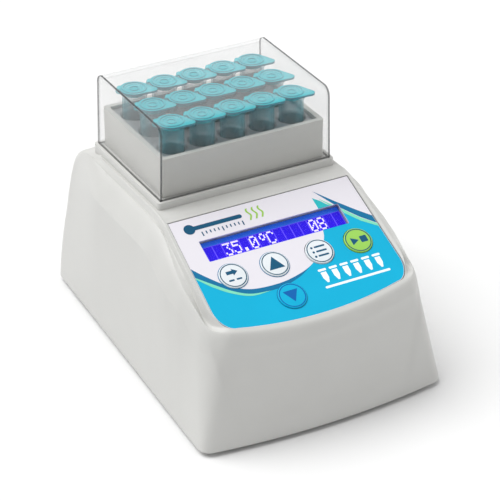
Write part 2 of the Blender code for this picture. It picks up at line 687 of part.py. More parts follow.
def tubes():
    """Closed tubes: body, rim, cap with thumb tab, and the strap that hinges it."""
    top = TUBE_TOP
    profile = [(0, top - 1.0), (TUBE_RIM, top - 1.0), (TUBE_RIM, top - 2.9), (TUBE_RADIUS, top - 3.3),
               (TUBE_RADIUS, top - TUBE_STRAIGHT), (TUBE_TIP_RADIUS, top - TUBE_LENGTH + 1.2),
               (0.7, top - TUBE_LENGTH), (0, top - TUBE_LENGTH)]
    body_mesh = lathe("tube_body", profile, steps=TUBE_SIDES).data
    for number, (x, y) in tube_places():
        tube = plate(f"tube_{number:02d}", cap_outline(), top - 1.3, top, "tube_plastic")
        body = add_object(f"tube_body_{number}", body_mesh)
        body.parent = tube
        body.location.z = -tube.location.z
        strap = box(f"tube_strap_{number}", (-TUBE_RIM - 1.4, -1.8, top - 2.8),
                    (-TUBE_RIM + 0.8, 1.8, top - 0.2))
        strap.location.z -= tube.location.z
        strap.parent = tube
        join(tube, body, strap)
        tube.location.x, tube.location.y = x * MM, y * MM
        tube.rotation_euler.z = TUBE_TURN


# --- Heater stack -----------------------------------------------------------------------------

def heater_stack():
    """Plate that the block stands on, with its mat, pad, screws, sensor and cut-out."""
    low = PLATE_TOP - PLATE_THICK
    front = BLOCK_Y - PLATE_HALF[1]
    hot_plate = box("heater_plate", (-PLATE_HALF[0], front, low),
                    (PLATE_HALF[0], BLOCK_Y + PLATE_HALF[1], PLATE_TOP), "aluminium", bevel=0.5, segments=1)
    sensor_z = low + PLATE_THICK / 2
    sensor_hole = cylinder("sensor_hole", SENSOR_RADIUS + GAP, -30, 30, (0, 0), sides=10)
    lay_along_y(sensor_hole, SENSOR_X, front - 5, sensor_z)
    cut(hot_plate, sensor_hole)
    for index, (sign_x, sign_y) in enumerate(QUADRANTS):
        place = (sign_x * COLUMN_AT[0], BLOCK_Y + sign_y * COLUMN_AT[1])
        seat = PLATE_TOP - PLATE_SEAT_DEPTH
        cut(hot_plate, cylinder(f"plate_hole_{index}", PLATE_HOLE, low - 1, PLATE_TOP + 1, place, sides=10),
            cylinder(f"plate_seat_{index}", PLATE_SEAT, seat, PLATE_TOP + 1, place, sides=12))
        screw(f"plate_screw_{index + 1}", place, (seat + GAP, PLATE_TOP - GAP), PLATE_SCREW_HEAD,
              PLATE_SCREW_SHANK, low - PLATE_SCREW_REACH)
    layer("heater_mat", low - GAP, MAT_THICK, "silicone")
    layer("insulation_pad", low - GAP - MAT_THICK - GAP, PAD_THICK, "foam")
    probe = cylinder("sensor_probe", SENSOR_RADIUS, -SENSOR_HALF, SENSOR_HALF, (0, 0), "steel", sides=10)
    lay_along_y(probe, SENSOR_X, front + SENSOR_DEPTH, sensor_z)
    cutoff = box("thermal_cutoff", (CUTOFF_X[0], front - 4.4, low + 0.6),
                 (CUTOFF_X[1], front - GAP, low + 5.4), "black_plastic", bevel=0.5, segments=1)
    ear = box("cutoff_ear", (CUTOFF_X[0] - CUTOFF_EAR, front - 1.4, low + 1.5),
              (CUTOFF_X[1] + CUTOFF_EAR, front - GAP - 0.05, low + 4.5))
    join(cutoff, ear)


def layer(name, top, thick, material):
    """A sheet as wide as the heater mat, under the plate."""
    box(name, (-MAT_HALF[0], BLOCK_Y - MAT_HALF[1], top - thick), (MAT_HALF[0], BLOCK_Y + MAT_HALF[1], top),
        material)


def lay_along_y(obj, x, y, z):
    """Lay an upright cylinder down with its axis along Y."""
    obj.rotation_euler.x = math.pi / 2
    obj.location = (x * MM, y * MM, z * MM)


# --- Panel parts ------------------------------------------------------------------------------

def control_overlay():
    """Printed film over the panel, open round the display window and each button."""
    overlay = plate("control_overlay", overlay_outline(), -OVERLAY_THICK, 0.0, "overlay_film", parent=PANEL)
    cut(overlay, box("overlay_window", (*lcd_corner(-1, GAP), -3), (*lcd_corner(1, GAP), 3), parent=PANEL))
    for name, (across, down) in BUTTONS.items():
        cut(overlay, cylinder(f"{name}_film_hole", BUTTON_RADIUS + GAP, -3, 3, (across, -down), parent=PANEL))


def buttons_and_switches():
    """A film-topped cap and a tact switch for each button."""
    top, radius = BUTTON_PROUD, BUTTON_RADIUS
    profile = [(0, top), (radius - 0.5, top), (radius, top - 0.4), (radius, BUTTON_SKIRT_END),
               (STEM_RADIUS, BUTTON_SKIRT_END), (STEM_RADIUS, STEM_END), (0, STEM_END)]
    for name, (across, down) in BUTTONS.items():
        material = "start_button_film" if name == "button_start_stop" else "button_film"
        cap = lathe(name, profile, material, parent=PANEL, steps=24)
        cap.location = (across * MM, -down * MM, 0)
        switch = box(name.replace("button", "switch"),
                     (across - SWITCH_HALF, -down - SWITCH_HALF, GAP - BOARD_DEPTH),
                     (across + SWITCH_HALF, -down + SWITCH_HALF, SWITCH_TOP), "black_plastic", parent=PANEL)
        plunger = cylinder(f"{name}_plunger", PLUNGER_RADIUS, SWITCH_TOP - 1, STEM_END - PLUNGER_TRAVEL,
                           (across, -down), parent=PANEL, sides=10)
        join(switch, plunger)


def display():
    """Window lens, metal bezel, display glass, and the board behind them."""
    def framed(name, margin, low, high, material=None):
        """A box centred on the window and larger than it by a margin."""
        near, far = lcd_corner(-1, margin), lcd_corner(1, margin)
        return box(name, (*near, low), (*far, high), material, parent=PANEL)

    framed("lcd_window", 0, *LENS_Z, "clear_acrylic")
    bezel = framed("lcd_bezel", BEZEL_OUTER, *BEZEL_Z, "steel")
    cut(bezel, framed("bezel_hollow", BEZEL_INNER, BEZEL_Z[0] - 1, BEZEL_Z[1] - BEZEL_FACE),
        framed("bezel_view", BEZEL_OPEN, BEZEL_Z[0], 0))
    framed("lcd_glass", LCD_MARGIN, *LCD_Z, "lcd_glass")
    low, high = -BOARD_DEPTH - BOARD_THICK, -BOARD_DEPTH
    near, far = DISPLAY_BOARD_SPAN
    board = box("display_board", (-DISPLAY_BOARD_HALF, -far, low), (DISPLAY_BOARD_HALF, -near, high),
                "circuit_board", parent=PANEL)
    near, far = HEADER_SPAN
    header = box("display_header", (-HEADER_HALF, -far, low - HEADER_DROP), (HEADER_HALF, -near, high - 0.5),
                 parent=PANEL)
    join(board, header)


# --- Electronics and rear ---------------------------------------------------------------------

def main_board():
    """Power and control board with its connectors and its larger components."""
    low, high = MAIN_BOARD_Z, MAIN_BOARD_Z + BOARD_THICK
    board = box("main_board", (-MAIN_BOARD_HALF[0], BOARD_Y - MAIN_BOARD_HALF[1], low),
                (MAIN_BOARD_HALF[0], BOARD_Y + MAIN_BOARD_HALF[1], high), "circuit_board")
    # Each component's left, right, front and back edge from the board's middle, and its height
    components = {
        "header": (-HEADER_HALF, HEADER_HALF, -18, -13, HEADER_HEIGHT),
        "heater_terminal": (-32, -18, 8, 16, TERMINAL_HEIGHT),
        "sensor_terminal": (10, 18, 10, 16, HEADER_HEIGHT),
        "heat_sink": (22, 32, -10, 6, 14),
        "controller": (-10, 2, -6, 6, 1.2),
    }
    for name, (left, right, front, back, height) in components.items():
        near, far = (left, BOARD_Y + front, low + 0.5), (right, BOARD_Y + back, high + height)
        join(board, box(f"board_{name}", near, far))


def rear_fittings():
    """Rear panel with the power switch and the low-voltage inlet."""
    front, back = REAR_PANEL_Y, REAR_PANEL_Y + REAR_PANEL_THICK
    low_z, high_z = REAR_PANEL_Z
    panel = box("rear_panel", (-REAR_PANEL_HALF, front, low_z), (REAR_PANEL_HALF, back, high_z),
                "black_plastic")
    opening = around_switch("switch_opening", SWITCH_FRAME_HALF, front - 3, back + 3,
                            margin=SWITCH_HOLE_MARGIN)
    jack_x, jack_z = JACK_AT
    jack_hole = cylinder("jack_hole", JACK_RADIUS + GAP, -5, 5, (0, 0), sides=16)
    lay_along_y(jack_hole, jack_x, front, jack_z)
    cut(panel, opening, jack_hole)
    frame = around_switch("power_switch_frame", SWITCH_FRAME_HALF, front - 12, back + 1.0, "black_plastic")
    join(frame, around_switch("switch_flange", SWITCH_FLANGE_HALF, back + GAP, back + 1.8))
    cut(frame, around_switch("switch_mouth", SWITCH_MOUTH_HALF, front - 4.6, back + 4))
    rocker = plate("power_switch_rocker", ROCKER_OUTLINE, -ROCKER_HALF_WIDTH, ROCKER_HALF_WIDTH,
                   "black_plastic")
    rocker.location = (SWITCH_AT[0] * MM, ROCKER_AXIS_Y * MM, SWITCH_AT[1] * MM)
    rocker.rotation_euler.z = -ROCKER_TILT
    jack = cylinder("power_jack", JACK_RADIUS, -7, 5, (0, 0), "black_plastic", sides=16)
    nut = cylinder("jack_nut", JACK_NUT, REAR_PANEL_THICK + GAP, 3.1, (0, 0), parent=jack, sides=6)
    bore = cylinder("jack_bore", JACK_BORE, -3, 7, (0, 0), parent=jack, sides=14)
    pin = cylinder("jack_pin", JACK_PIN, -4, 4.2, (0, 0), parent=jack, sides=10)
    lay_along_y(jack, jack_x, front, jack_z)
    jack.rotation_euler.x = -math.pi / 2
    join(jack, nut)
    cut(jack, bore)
    join(jack, pin)


def around_switch(name, half, front, back, material=None, margin=0.0):
    """A box centred on the power switch, with its half width and half height."""
    x, z = SWITCH_AT
    width, height = half[0] + margin, half[1] + margin
    return box(name, (x - width, front, z - height), (x + width, back, z + height), material)


def ribbon_cable():
    """Flat cable that joins the display board's header to the main board's."""
    depth, down = BOARD_DEPTH + BOARD_THICK + HEADER_DROP + GAP, sum(HEADER_SPAN) / 2
    sine, cosine = math.sin(PANEL_SLOPE), math.cos(PANEL_SLOPE)
    start_y = PANEL_TOP_Y - down * cosine + depth * sine
    start_z = PANEL_TOP_Z - down * sine - depth * cosine
    end_y, end_z = BOARD_Y - 15.5, MAIN_BOARD_Z + BOARD_THICK + HEADER_HEIGHT + GAP
    route = [(start_y, start_z), (start_y + 2, start_z - 4), (start_y + 6, (start_z + end_z) / 2),
             (end_y + 1.5, end_z + 5), (end_y, end_z)]
    middle = smooth_route(route, 4)
    half_thick, half_width = 0.45, 7.0
    sides = [[], []]
    for before, place, after in zip([middle[0], *middle], middle, [*middle[1:], middle[-1]]):
        along = (after - before) / np.linalg.norm(after - before)
        across = np.array([-along[1], along[0]]) * half_thick
        sides[0].append(place + across)
        sides[1].append(place - across)
    ribbon = plate("ribbon_cable", sides[0] + sides[1][::-1], -half_width, half_width, "cable_grey")
    stand_along_x(ribbon)


def stand_along_x(obj):
    """Turn a plate made from an outline in (Y, Z), so that its thickness lies along X."""
    obj.rotation_euler = (math.pi / 2, 0, math.pi / 2)
    obj.location = (0, 0, 0)


def cables():
    """Round leads inside the housing, from the main board to the heater mat and the sensor."""
    board_top = MAIN_BOARD_Z + BOARD_THICK
    thick, thin = 1.1, 0.8
    mat_front = BLOCK_Y - MAT_HALF[1]
    mat_z = PLATE_TOP - PLATE_THICK - GAP - MAT_THICK / 2
    wire("heater_leads", [
        (-25, BOARD_Y + 12, board_top + TERMINAL_HEIGHT + GAP + thick + 0.2),
        (-25, BOARD_Y + 14, board_top + 16),
        (-24, mat_front - 8, mat_z - 6),
        (-22, mat_front - 2.2, mat_z),
    ], thick, "cable_red")
    plate_front = BLOCK_Y - PLATE_HALF[1]
    probe_z = PLATE_TOP - PLATE_THICK / 2
    wire("sensor_lead", [
        (14, BOARD_Y + 13, board_top + HEADER_HEIGHT + GAP + thin + 0.1),
        (14, BOARD_Y + 13, board_top + 14),
        (SENSOR_X, plate_front - 12, probe_z - 8),
        (SENSOR_X, plate_front - 5, probe_z),
        (SENSOR_X, plate_front - 2.5, probe_z),
    ], thin, "cable_grey")


# --- Build ------------------------------------------------------------------------------------

clear_scene()
PARTS = new_collection("block_heater")
CUTTERS = new_collection("cutters")
MATERIALS = {name: make_material(name) for name in COLOURS}
PANEL = bpy.data.objects.new("panel_frame", None)
PARTS.objects.link(PANEL)
PANEL.location = (0, PANEL_TOP_Y * MM, PANEL_TOP_Z * MM)
PANEL.rotation_euler.x = PANEL_SLOPE

upper_housing()
base_plate()
rubber_feet()
base_screws()
block_surround()
clear_lid()
heat_block()
tubes()
heater_stack()
control_overlay()
buttons_and_switches()
display()
main_board()
rear_fittings()
ribbon_cable()
cables()
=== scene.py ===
"""Looks for a compact dry block heater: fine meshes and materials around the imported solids.

Sizes are in millimetres and MM turns them into metres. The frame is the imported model's: X to the
right of the control panel, Y to the back, Z up, with the origin on the bench under the object.
"""

import json
import math

import bmesh
import bpy
import numpy as np
from mathutils import Matrix, Vector


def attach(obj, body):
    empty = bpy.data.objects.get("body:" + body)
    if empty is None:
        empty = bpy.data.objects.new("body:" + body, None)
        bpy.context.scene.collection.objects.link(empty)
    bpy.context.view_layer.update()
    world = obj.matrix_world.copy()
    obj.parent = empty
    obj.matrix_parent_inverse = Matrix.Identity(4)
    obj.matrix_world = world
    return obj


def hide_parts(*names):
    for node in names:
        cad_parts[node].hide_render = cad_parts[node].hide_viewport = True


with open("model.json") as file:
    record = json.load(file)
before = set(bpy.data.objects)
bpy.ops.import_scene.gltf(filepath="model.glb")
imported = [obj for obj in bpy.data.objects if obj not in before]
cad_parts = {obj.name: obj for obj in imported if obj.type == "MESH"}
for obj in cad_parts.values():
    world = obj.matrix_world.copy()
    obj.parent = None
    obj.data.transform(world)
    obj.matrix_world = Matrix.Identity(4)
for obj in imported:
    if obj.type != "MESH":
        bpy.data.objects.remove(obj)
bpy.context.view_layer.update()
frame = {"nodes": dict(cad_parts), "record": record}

MM = 0.001

# Layout shared with the solids
FOOT_DROP = 2.0
BLOCK_Y = 21.0
LEDGE_Z = FOOT_DROP + 79.9
DECK_Z = LEDGE_Z - 3.3
GAP = 0.3
PLINTH_HALF = (42.4, 31.6)
SKIRT_HALF = (37.8, 27.3)
COLLAR_HALF = (38.9, 28.2)
COLLAR_TOP = LEDGE_Z + 18.2
BLOCK_HALF = (36.3, 25.7)
BLOCK_TOP = LEDGE_Z + 16.8
BLOCK_BOTTOM = LEDGE_Z - 19.2

# Control panel
PANEL_SLOPE = math.radians(25.2)
PANEL_TOP_Y = BLOCK_Y - 41.1
PANEL_TOP_Z = FOOT_DROP + 75.4
PANEL_LIP = 0.45
OVERLAY_TOP_HALF, OVERLAY_LOW_HALF = 43.0, 44.7
OVERLAY_SIDE, OVERLAY_LENGTH = 46.0, 60.6
OVERLAY_BOTTOM_BULGE, OVERLAY_CORNER = 4.2, 7.0
OVERLAY_THICK, POCKET_DEPTH = 0.5, 0.8
LCD_WINDOW = (66.0, 10.2)
LCD_CENTRE = (-1.2, 17.5)
BUTTON_RADIUS, BUTTON_PROUD = 6.2, 0.6
BUTTONS = {
    "button_shift": (-28.3, 32.4),
    "button_up": (-8.8, 32.4),
    "button_program": (12.6, 32.4),
    "button_start_stop": (31.3, 32.4),
    "button_down": (-9.0, 49.1),
}
PANEL_MATRIX = (
    Matrix.Translation((0, PANEL_TOP_Y * MM, PANEL_TOP_Z * MM)) @ Matrix.Rotation(PANEL_SLOPE, 4, "X")
)

# Housing outline, from the lower edge up: the base, the knee that the shoulder is rounded from, and
# the crest beside the panel and the plinth
BASE_FRONT_Y, BASE_BACK_Y = -78.3, 81.9
BASE_FRONT_HALF, BASE_BACK_HALF = 58.4, 50.1
KNEE_FRONT_Y, KNEE_BACK_Y = -72.0, 71.0
KNEE_Y = (-72.0, -65.0, -55.0, -47.0, -38.0, -25.0, -9.0, 20.0, 71.0)
KNEE_HALF = (48.8, 49.9, 50.4, 50.7, 49.9, 47.5, 46.6, 46.2, 45.5)
CREST_FRONT_Y, CREST_BACK_Y = -67.4, 46.0
CREST_Y = (-62.0, -50.0, -36.0, -22.0, -9.0, 46.0)
CREST_HALF = (46.4, 46.1, 45.5, 44.6, 43.8, 43.6)
CREST_HEIGHT, CREST_WIDTH = 0.3, 1.1
SIDE_DROP, FRONT_DROP, BACK_DROP = 13.5, 6.0, 34.0  # how far down the wall the rounding starts
FRONT_REACH, BACK_REACH = 2.3, 8.0  # how far in from the knee it ends
BACK_SHOULDER_Z = FOOT_DROP + 70.8
BACK_START_Y, BACK_RUN = 35.0, 33.0  # where the sides start to turn into the back, and over what length
STEP_DEPTH = 2.7            # from the deck down to the shoulder, on the sides
STEP_END_Y, STEP_FADE = 30.0, 36.0
SWELL_START_Y, SWELL_FADE, SWELL_LOSS = -22.0, 36.0, 0.68  # the sides swell less towards the front
SWELL = ((6.0, 13.5), (5.95, 12.2), (4.7, 9.8))     # out from the knee, down from the deck
# Shallow recess in the front face: half-width at heights, depth, lower edge and how far back it goes
BIB_Z = (6.0, 13.0, 26.0, 39.0, 50.0)
BIB_HALF = (38.5, 41.0, 44.6, 47.8, 49.6)
BIB_DEPTH, BIB_LOW_Z, BIB_BACK_Y = 0.9, 7.5, -50.0
SPINE_FRONT_Y, SPINE_BACK_Y = -58.0, 42.0
SHELL_WALL = 2.6
REAR_HALF, REAR_LOW_Z, REAR_HIGH_Z = 30.3, FOOT_DROP + 7.7, FOOT_DROP + 36.3

# Tubes and lid
PITCH_X, PITCH_Y = 14.35, 17.5
COLUMNS, ROWS = 5, 3
TUBE_TOP = LEDGE_Z + 29.6
TUBE_TURN = math.radians(-34.0)
LID_HALF = (41.0, 30.2)
LID_HEIGHT, LID_END, LID_SHEET, LID_BEND = 33.7, 1.0, 1.4, 4.0
LID_TAPER = 0.0195          # share of its width that the lid loses from bottom to top
FEET = ((-44.0, -64.0), (44.0, -64.0), (-39.0, 70.0), (39.0, 70.0))

# Studio
SUNS = (    # name, strength, spread in degrees and direction
    ("key", 2.75, 54, (-0.38, 0.28, 0.88)),
    ("fill", 1.0, 110, (0.94, 0.04, 0.44)),
)
SKY_STRENGTH = 0.38
FLOOR_HALF, FLOOR_COLOUR = 3000, (233, 233, 233)
CAMERA_TURN, CAMERA_LIFT = math.radians(-28.74), math.radians(30.65)
CAMERA_AIM, CAMERA_DISTANCE = (-26.97, -61.38, 81.9), 0.8929
CAMERA_SENSOR, CAMERA_LENS = 36.0, 160.3


# --- Materials ---

def srgb(red, green, blue):
    """A linear colour from 8-bit display values."""
    def linear(value):
        value /= 255
        return value / 12.92 if value <= 0.04045 else ((value + 0.055) / 1.055) ** 2.4
    return (linear(red), linear(green), linear(blue), 1.0)


def shaded(colour, factor):
    """A colour made lighter or darker."""
    return (*(min(1.0, channel * factor) for channel in colour[:3]), 1.0)


def textured(colour, roughness=0.45, tone=0.04, tone_scale=60, grain=0.0, grain_scale=1800,
             rough_spread=0.06, stretch=(1.0, 1.0, 1.0), **sockets):
    """A Principled material with slow colour variation, uneven roughness and a fine surface grain."""
    material = bpy.data.materials.new("finish")
    material.use_nodes = True
    nodes, links = material.node_tree.nodes, material.node_tree.links
    shader = nodes["Principled BSDF"]
    place = nodes.new("ShaderNodeTexCoord")
    mapping = nodes.new("ShaderNodeMapping")
    mapping.inputs["Scale"].default_value = stretch
    links.new(place.outputs["Object"], mapping.inputs["Vector"])
    cloud = nodes.new("ShaderNodeTexNoise")
    cloud.inputs["Scale"].default_value = tone_scale
    cloud.inputs["Detail"].default_value = 4.0
    links.new(mapping.outputs["Vector"], cloud.inputs["Vector"])
    ramp = nodes.new("ShaderNodeValToRGB")
    ramp.color_ramp.elements[0].position = 0.3
    ramp.color_ramp.elements[1].position = 0.7
    ramp.color_ramp.elements[0].color = shaded(srgb(*colour), 1 - tone)
    ramp.color_ramp.elements[1].color = shaded(srgb(*colour), 1 + tone)
    links.new(cloud.outputs["Fac"], ramp.inputs["Fac"])
    links.new(ramp.outputs["Color"], shader.inputs["Base Color"])
    spread = nodes.new("ShaderNodeMapRange")
    spread.inputs["To Min"].default_value = max(0.0, roughness - rough_spread)
    spread.inputs["To Max"].default_value = roughness + rough_spread
    links.new(cloud.outputs["Fac"], spread.inputs["Value"])
    links.new(spread.outputs["Result"], shader.inputs["Roughness"])
    if grain:
        fine = nodes.new("ShaderNodeTexNoise")
        fine.inputs["Scale"].default_value = grain_scale
        fine.inputs["Detail"].default_value = 2.0
        links.new(mapping.outputs["Vector"], fine.inputs["Vector"])
        bump = nodes.new("ShaderNodeBump")
        bump.inputs["Strength"].default_value = grain
        bump.inputs["Distance"].default_value = 0.0001
        links.new(fine.outputs["Fac"], bump.inputs["Height"])
        links.new(bump.outputs["Normal"], shader.inputs["Normal"])
    for socket, value in sockets.items():
        shader.inputs[socket.replace("_", " ")].default_value = value
    return material


def see_through(colour, facing_alpha, edge_alpha, roughness=0.08, blend=0.35, **sockets):
    """A textured material that shows more of itself where it is seen edge on."""
    material = textured(colour, roughness, tone=0.03, tone_scale=90, rough_spread=0.02, **sockets)
    nodes, links = material.node_tree.nodes, material.node_tree.links
    weight = nodes.new("ShaderNodeLayerWeight")
    weight.inputs["Blend"].default_value = blend
    alpha = nodes.new("ShaderNodeMapRange")
    alpha.inputs["To Min"].default_value = facing_alpha
    alpha.inputs["To Max"].default_value = edge_alpha
    links.new(weight.outputs["Facing"], alpha.inputs["Value"])
    links.new(alpha.outputs["Result"], nodes["Principled BSDF"].inputs["Alpha"])
    return material


def glowing(colour, strength, **texture):
    """A textured material that also gives off its own colour."""
    material = textured(colour, **texture)
    shader = material.node_tree.nodes["Principled BSDF"]
    shader.inputs["Emission Color"].default_value = srgb(*colour)
    shader.inputs["Emission Strength"].default_value = strength
    return material


def print_ink(colour, tone=0.03):
    """The film of the panel, or a dull colour printed on it."""
    return textured(colour, 0.34, tone=tone, grain=0.05, Specular_IOR_Level=0.2)


MATERIALS = {
    "housing_plastic": textured((204, 204, 201), 0.42, tone=0.012, grain=0.12),
    "base_plastic": textured((150, 150, 148), 0.5, tone=0.03, grain=0.2),
    "collar_plastic": textured((199, 199, 194), 0.4, tone=0.03, grain=0.1, stretch=(1, 1, 4)),
    "clear_acrylic": see_through((212, 212, 212), 0.03, 0.3, 0.05),
    # Dark grey for the lid's clear rims and lower edges: painted shade where the clear edges look dark
    "acrylic_edge_painted_shade": see_through((52, 54, 56), 0.72, 0.95, 0.2),
    "window_lens": see_through((120, 120, 190), 0.02, 0.1, 0.05),
    "tube_plastic": see_through((60, 176, 190), 0.1, 0.75, 0.12, blend=0.3),
    "tube_cap": see_through((0, 200, 212), 0.5, 0.9, 0.14, blend=0.4),
    # Darker teal for the steep faces on top of the caps: painted shade in the rings of the rim and ridge
    "cap_painted_shade": see_through((0, 112, 132), 0.75, 0.95, 0.14, blend=0.4),
    "aluminium": textured((170, 174, 176), 0.42, tone=0.05, tone_scale=300, grain=0.25,
                          grain_scale=5000, Metallic=0.85),
    "overlay_film": print_ink((229, 226, 233), tone=0.01),
    "cyan_print": print_ink((0, 174, 214), tone=0.02),
    "teal_print": print_ink((12, 112, 158)),
    "green_print": print_ink((128, 220, 186)),
    "lagoon_print": print_ink((44, 184, 190)),
    "ink_print": print_ink((16, 84, 118), tone=0.04),
    "white_print": print_ink((244, 250, 252), tone=0.01),
    "blue_print": print_ink((0, 96, 172)),
    "ring_print": print_ink((34, 84, 108), tone=0.05),
    "green_mark": textured((150, 200, 70), 0.34, tone=0.03, grain=0.05),
    # Dark grey ring round the edge of the film: painted shade in the gap between the film and its pocket
    "border_painted_shade": textured((58, 66, 72), 0.5, tone=0.05, grain=0.05),
    "button_film": textured((226, 232, 236), 0.32, tone=0.015, grain=0.05),
    "start_button_film": textured((150, 206, 84), 0.32, tone=0.02, grain=0.05),
    "lcd_back": glowing((92, 70, 240), 0.25, roughness=0.4, tone=0.06, Specular_IOR_Level=0.1),
    "lcd_cell": glowing((36, 0, 214), 0.3, roughness=0.4, tone=0.08, tone_scale=700,
                        Specular_IOR_Level=0.1),
    "lcd_strip": glowing((0, 92, 215), 0.35, roughness=0.3, tone=0.08, tone_scale=120),
    "lcd_dot": glowing((214, 206, 255), 0.7, roughness=0.3, tone=0.03),
    "steel": textured((176, 178, 180), 0.3, tone=0.06, tone_scale=200, Metallic=1.0),
    "circuit_board": textured((24, 92, 52), 0.4, tone=0.2, tone_scale=400),
    "black_plastic": textured((34, 34, 36), 0.42, tone=0.15, grain=0.3),
    "rubber": textured((40, 40, 40), 0.8, tone=0.15, grain=0.5),
    "silicone": textured((176, 84, 48), 0.6, tone=0.1, grain=0.4),
    "foam": textured((224, 221, 214), 0.95, tone=0.08, tone_scale=900, grain=1.0),
    "cable_red": textured((170, 34, 24), 0.5, tone=0.1),
    "cable_grey": textured((150, 150, 152), 0.5, tone=0.1),
    "lcd_glass": textured((60, 30, 220), 0.2, tone=0.05),
}
for finish, material in MATERIALS.items():
    material.name = finish


# --- Mesh helpers ---

def new_object(name, mesh):
    """Link a mesh as an object."""
    obj = bpy.data.objects.new(name, mesh)
    bpy.context.scene.collection.objects.link(obj)
    return obj


def from_points(name, points, faces):
    """An object from points in millimetres and faces, with coincident points made one."""
    bm = bmesh.new()
    corners = [bm.verts.new(Vector(p) * MM) for p in points]
    for face in faces:
        bm.faces.new([corners[i] for i in face])
    bmesh.ops.remove_doubles(bm, verts=bm.verts, dist=0.000002)
    bmesh.ops.dissolve_degenerate(bm, dist=0.0000005, edges=bm.edges)
    bmesh.ops.recalc_face_normals(bm, faces=bm.faces)
    mesh = bpy.data.meshes.new(name)
    bm.to_mesh(mesh)
    bm.free()
    return new_object(name, mesh)


def turned(name, profile, steps=48):
    """A profile of (radius, z) turned about Z. It starts and ends on the axis, or closes on itself."""
    points, faces = [], []
    count = len(profile)
    for step in range(steps):
        angle = 2 * math.pi * step / steps
        points += [(r * math.cos(angle), r * math.sin(angle), z) for r, z in profile]
    closed = profile[0][0] > 0 or profile[-1][0] > 0
    for step in range(steps):
        a, b = step * count, (step + 1) % steps * count
        faces += [(a + i, a + i + 1, b + i + 1, b + i) for i in range(count - 1)]
        if closed:
            faces.append((a + count - 1, a, b, b + count - 1))
    return from_points(name, points, faces)


def slab(name, outline, low, high, holes=()):
    """A flat outline, with any holes, thickened from z = low to z = high."""
    curve = bpy.data.curves.new(name, "CURVE")
    curve.dimensions = "2D"
    curve.fill_mode = "BOTH"
    curve.extrude = (high - low) / 2 * MM
    for line in (outline, *holes):
        line = [p for p, before in zip(line, (line[-1], *line)) if math.dist(p, before) > 0.01]
        spline = curve.splines.new("POLY")
        spline.points.add(len(line) - 1)
        for point, (x, y) in zip(spline.points, line):
            point.co = (x * MM, y * MM, 0.0, 1.0)
        spline.use_cyclic_u = True
    obj = new_object(name, curve)
    obj.location.z = (low + high) / 2 * MM
    return settle(obj)


def box(name, low, high):
    """A box between two corners."""
    (x0, y0, z0), (x1, y1, z1) = low, high
    return slab(name, [(x0, y0), (x1, y0), (x1, y1), (x0, y1)], z0, z1)


def settle(obj):
    """Replace an object by a mesh of what it evaluates to, in world space, with its seams welded."""
    bpy.context.view_layer.update()
    evaluated = obj.evaluated_get(bpy.context.evaluated_depsgraph_get())
    mesh = bpy.data.meshes.new_from_object(evaluated)
    mesh.transform(obj.matrix_world)
    bm = bmesh.new()
    bm.from_mesh(mesh)
    bmesh.ops.remove_doubles(bm, verts=bm.verts, dist=0.000001)
    bmesh.ops.recalc_face_normals(bm, faces=bm.faces)
    bm.to_mesh(mesh)
    bm.free()
    name = obj.name
    bpy.data.objects.remove(obj, do_unlink=True)
    mesh.name = name
    settled = new_object(name, mesh)
    settled.name = name
    return settled


def combine(obj, operation, *others):
    """Join, cut or intersect an object with others, which are used up."""
    for other in others:
        modifier = obj.modifiers.new(operation.title(), "BOOLEAN")
        modifier.operation = operation
        modifier.object = other
        modifier.solver = "EXACT"
    settled = settle(obj)
    for other in others:
        bpy.data.objects.remove(other, do_unlink=True)
    return settled


def rounded(obj, width, segments=3, angle=35):
    """Round an object's sharp edges."""
    modifier = obj.modifiers.new("Bevel", "BEVEL")
    modifier.width = width * MM
    modifier.segments = segments
    modifier.limit_method = "ANGLE"
    modifier.angle_limit = math.radians(angle)
    return settle(obj)


def moved(obj, matrix):
    """Move an object's mesh."""
    obj.data.transform(matrix)
    return obj


def shifted(obj, x=0.0, y=0.0, z=0.0):
    """Move an object's mesh by millimetres."""
    return moved(obj, Matrix.Translation((x * MM, y * MM, z * MM)))


def merged(name, objects):
    """One object that holds the meshes of several, with their materials."""
    bm = bmesh.new()
    materials = []
    for obj in objects:
        before = len(bm.faces)
        bm.from_mesh(obj.data)
        bm.faces.ensure_lookup_table()
        slots = [m for m in obj.data.materials] or [None]
        for material in slots:
            if material not in materials:
                materials.append(material)
        for face in bm.faces[before:]:
            face.material_index = materials.index(slots[min(face.material_index, len(slots) - 1)])
    mesh = bpy.data.meshes.new(name)
    bm.to_mesh(mesh)
    bm.free()
    for material in materials:
        if material:
            mesh.materials.append(material)
    for obj in objects:
        bpy.data.objects.remove(obj, do_unlink=True)
    return new_object(name, mesh)


def paint(obj, material):
    """Give an object one material."""
    obj.data.materials.clear()
    obj.data.materials.append(MATERIALS[material])
    return obj


def place(obj, body, slot, *nodes, sharp=32):
    """Finish a piece: smooth shading, its body and the solids it stands for. Its finish (slot) is not used.
    """
    obj.data.shade_smooth()
    obj.data.set_sharp_from_angle(angle=math.radians(sharp))
    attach(obj, body)
    if nodes:
        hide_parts(*nodes)
    return obj


def arc(centre, radius, start, end, steps=8):
    """Points on an arc, with its angles in degrees."""
    angles = np.radians(np.linspace(start, end, steps + 1))
    return [(centre[0] + radius * math.cos(a), centre[1] + radius * math.sin(a)) for a in angles]


def circle(centre, radius, steps=48):
    """Points round a circle."""
    return arc(centre, radius, 0, 360, steps)[:-1]


def rounded_rectangle(low, high, radius, steps=6):
    """Outline of a rectangle between two corners, with round corners."""
    (x0, y0), (x1, y1) = low, high
    return (
        arc((x1 - radius, y1 - radius), radius, 0, 90, steps)
        + arc((x0 + radius, y1 - radius), radius, 90, 180, steps)
        + arc((x0 + radius, y0 + radius), radius, 180, 270, steps)
        + arc((x1 - radius, y0 + radius), radius, 270, 360, steps)
    )


def footprint(half, radius, margin=0.0):
    """Outline of a rectangle round the heat block's axis, widened by a margin."""
    x, y = half[0] + margin, half[1] + margin
    return rounded_rectangle((-x, BLOCK_Y - y), (x, BLOCK_Y + y), radius)


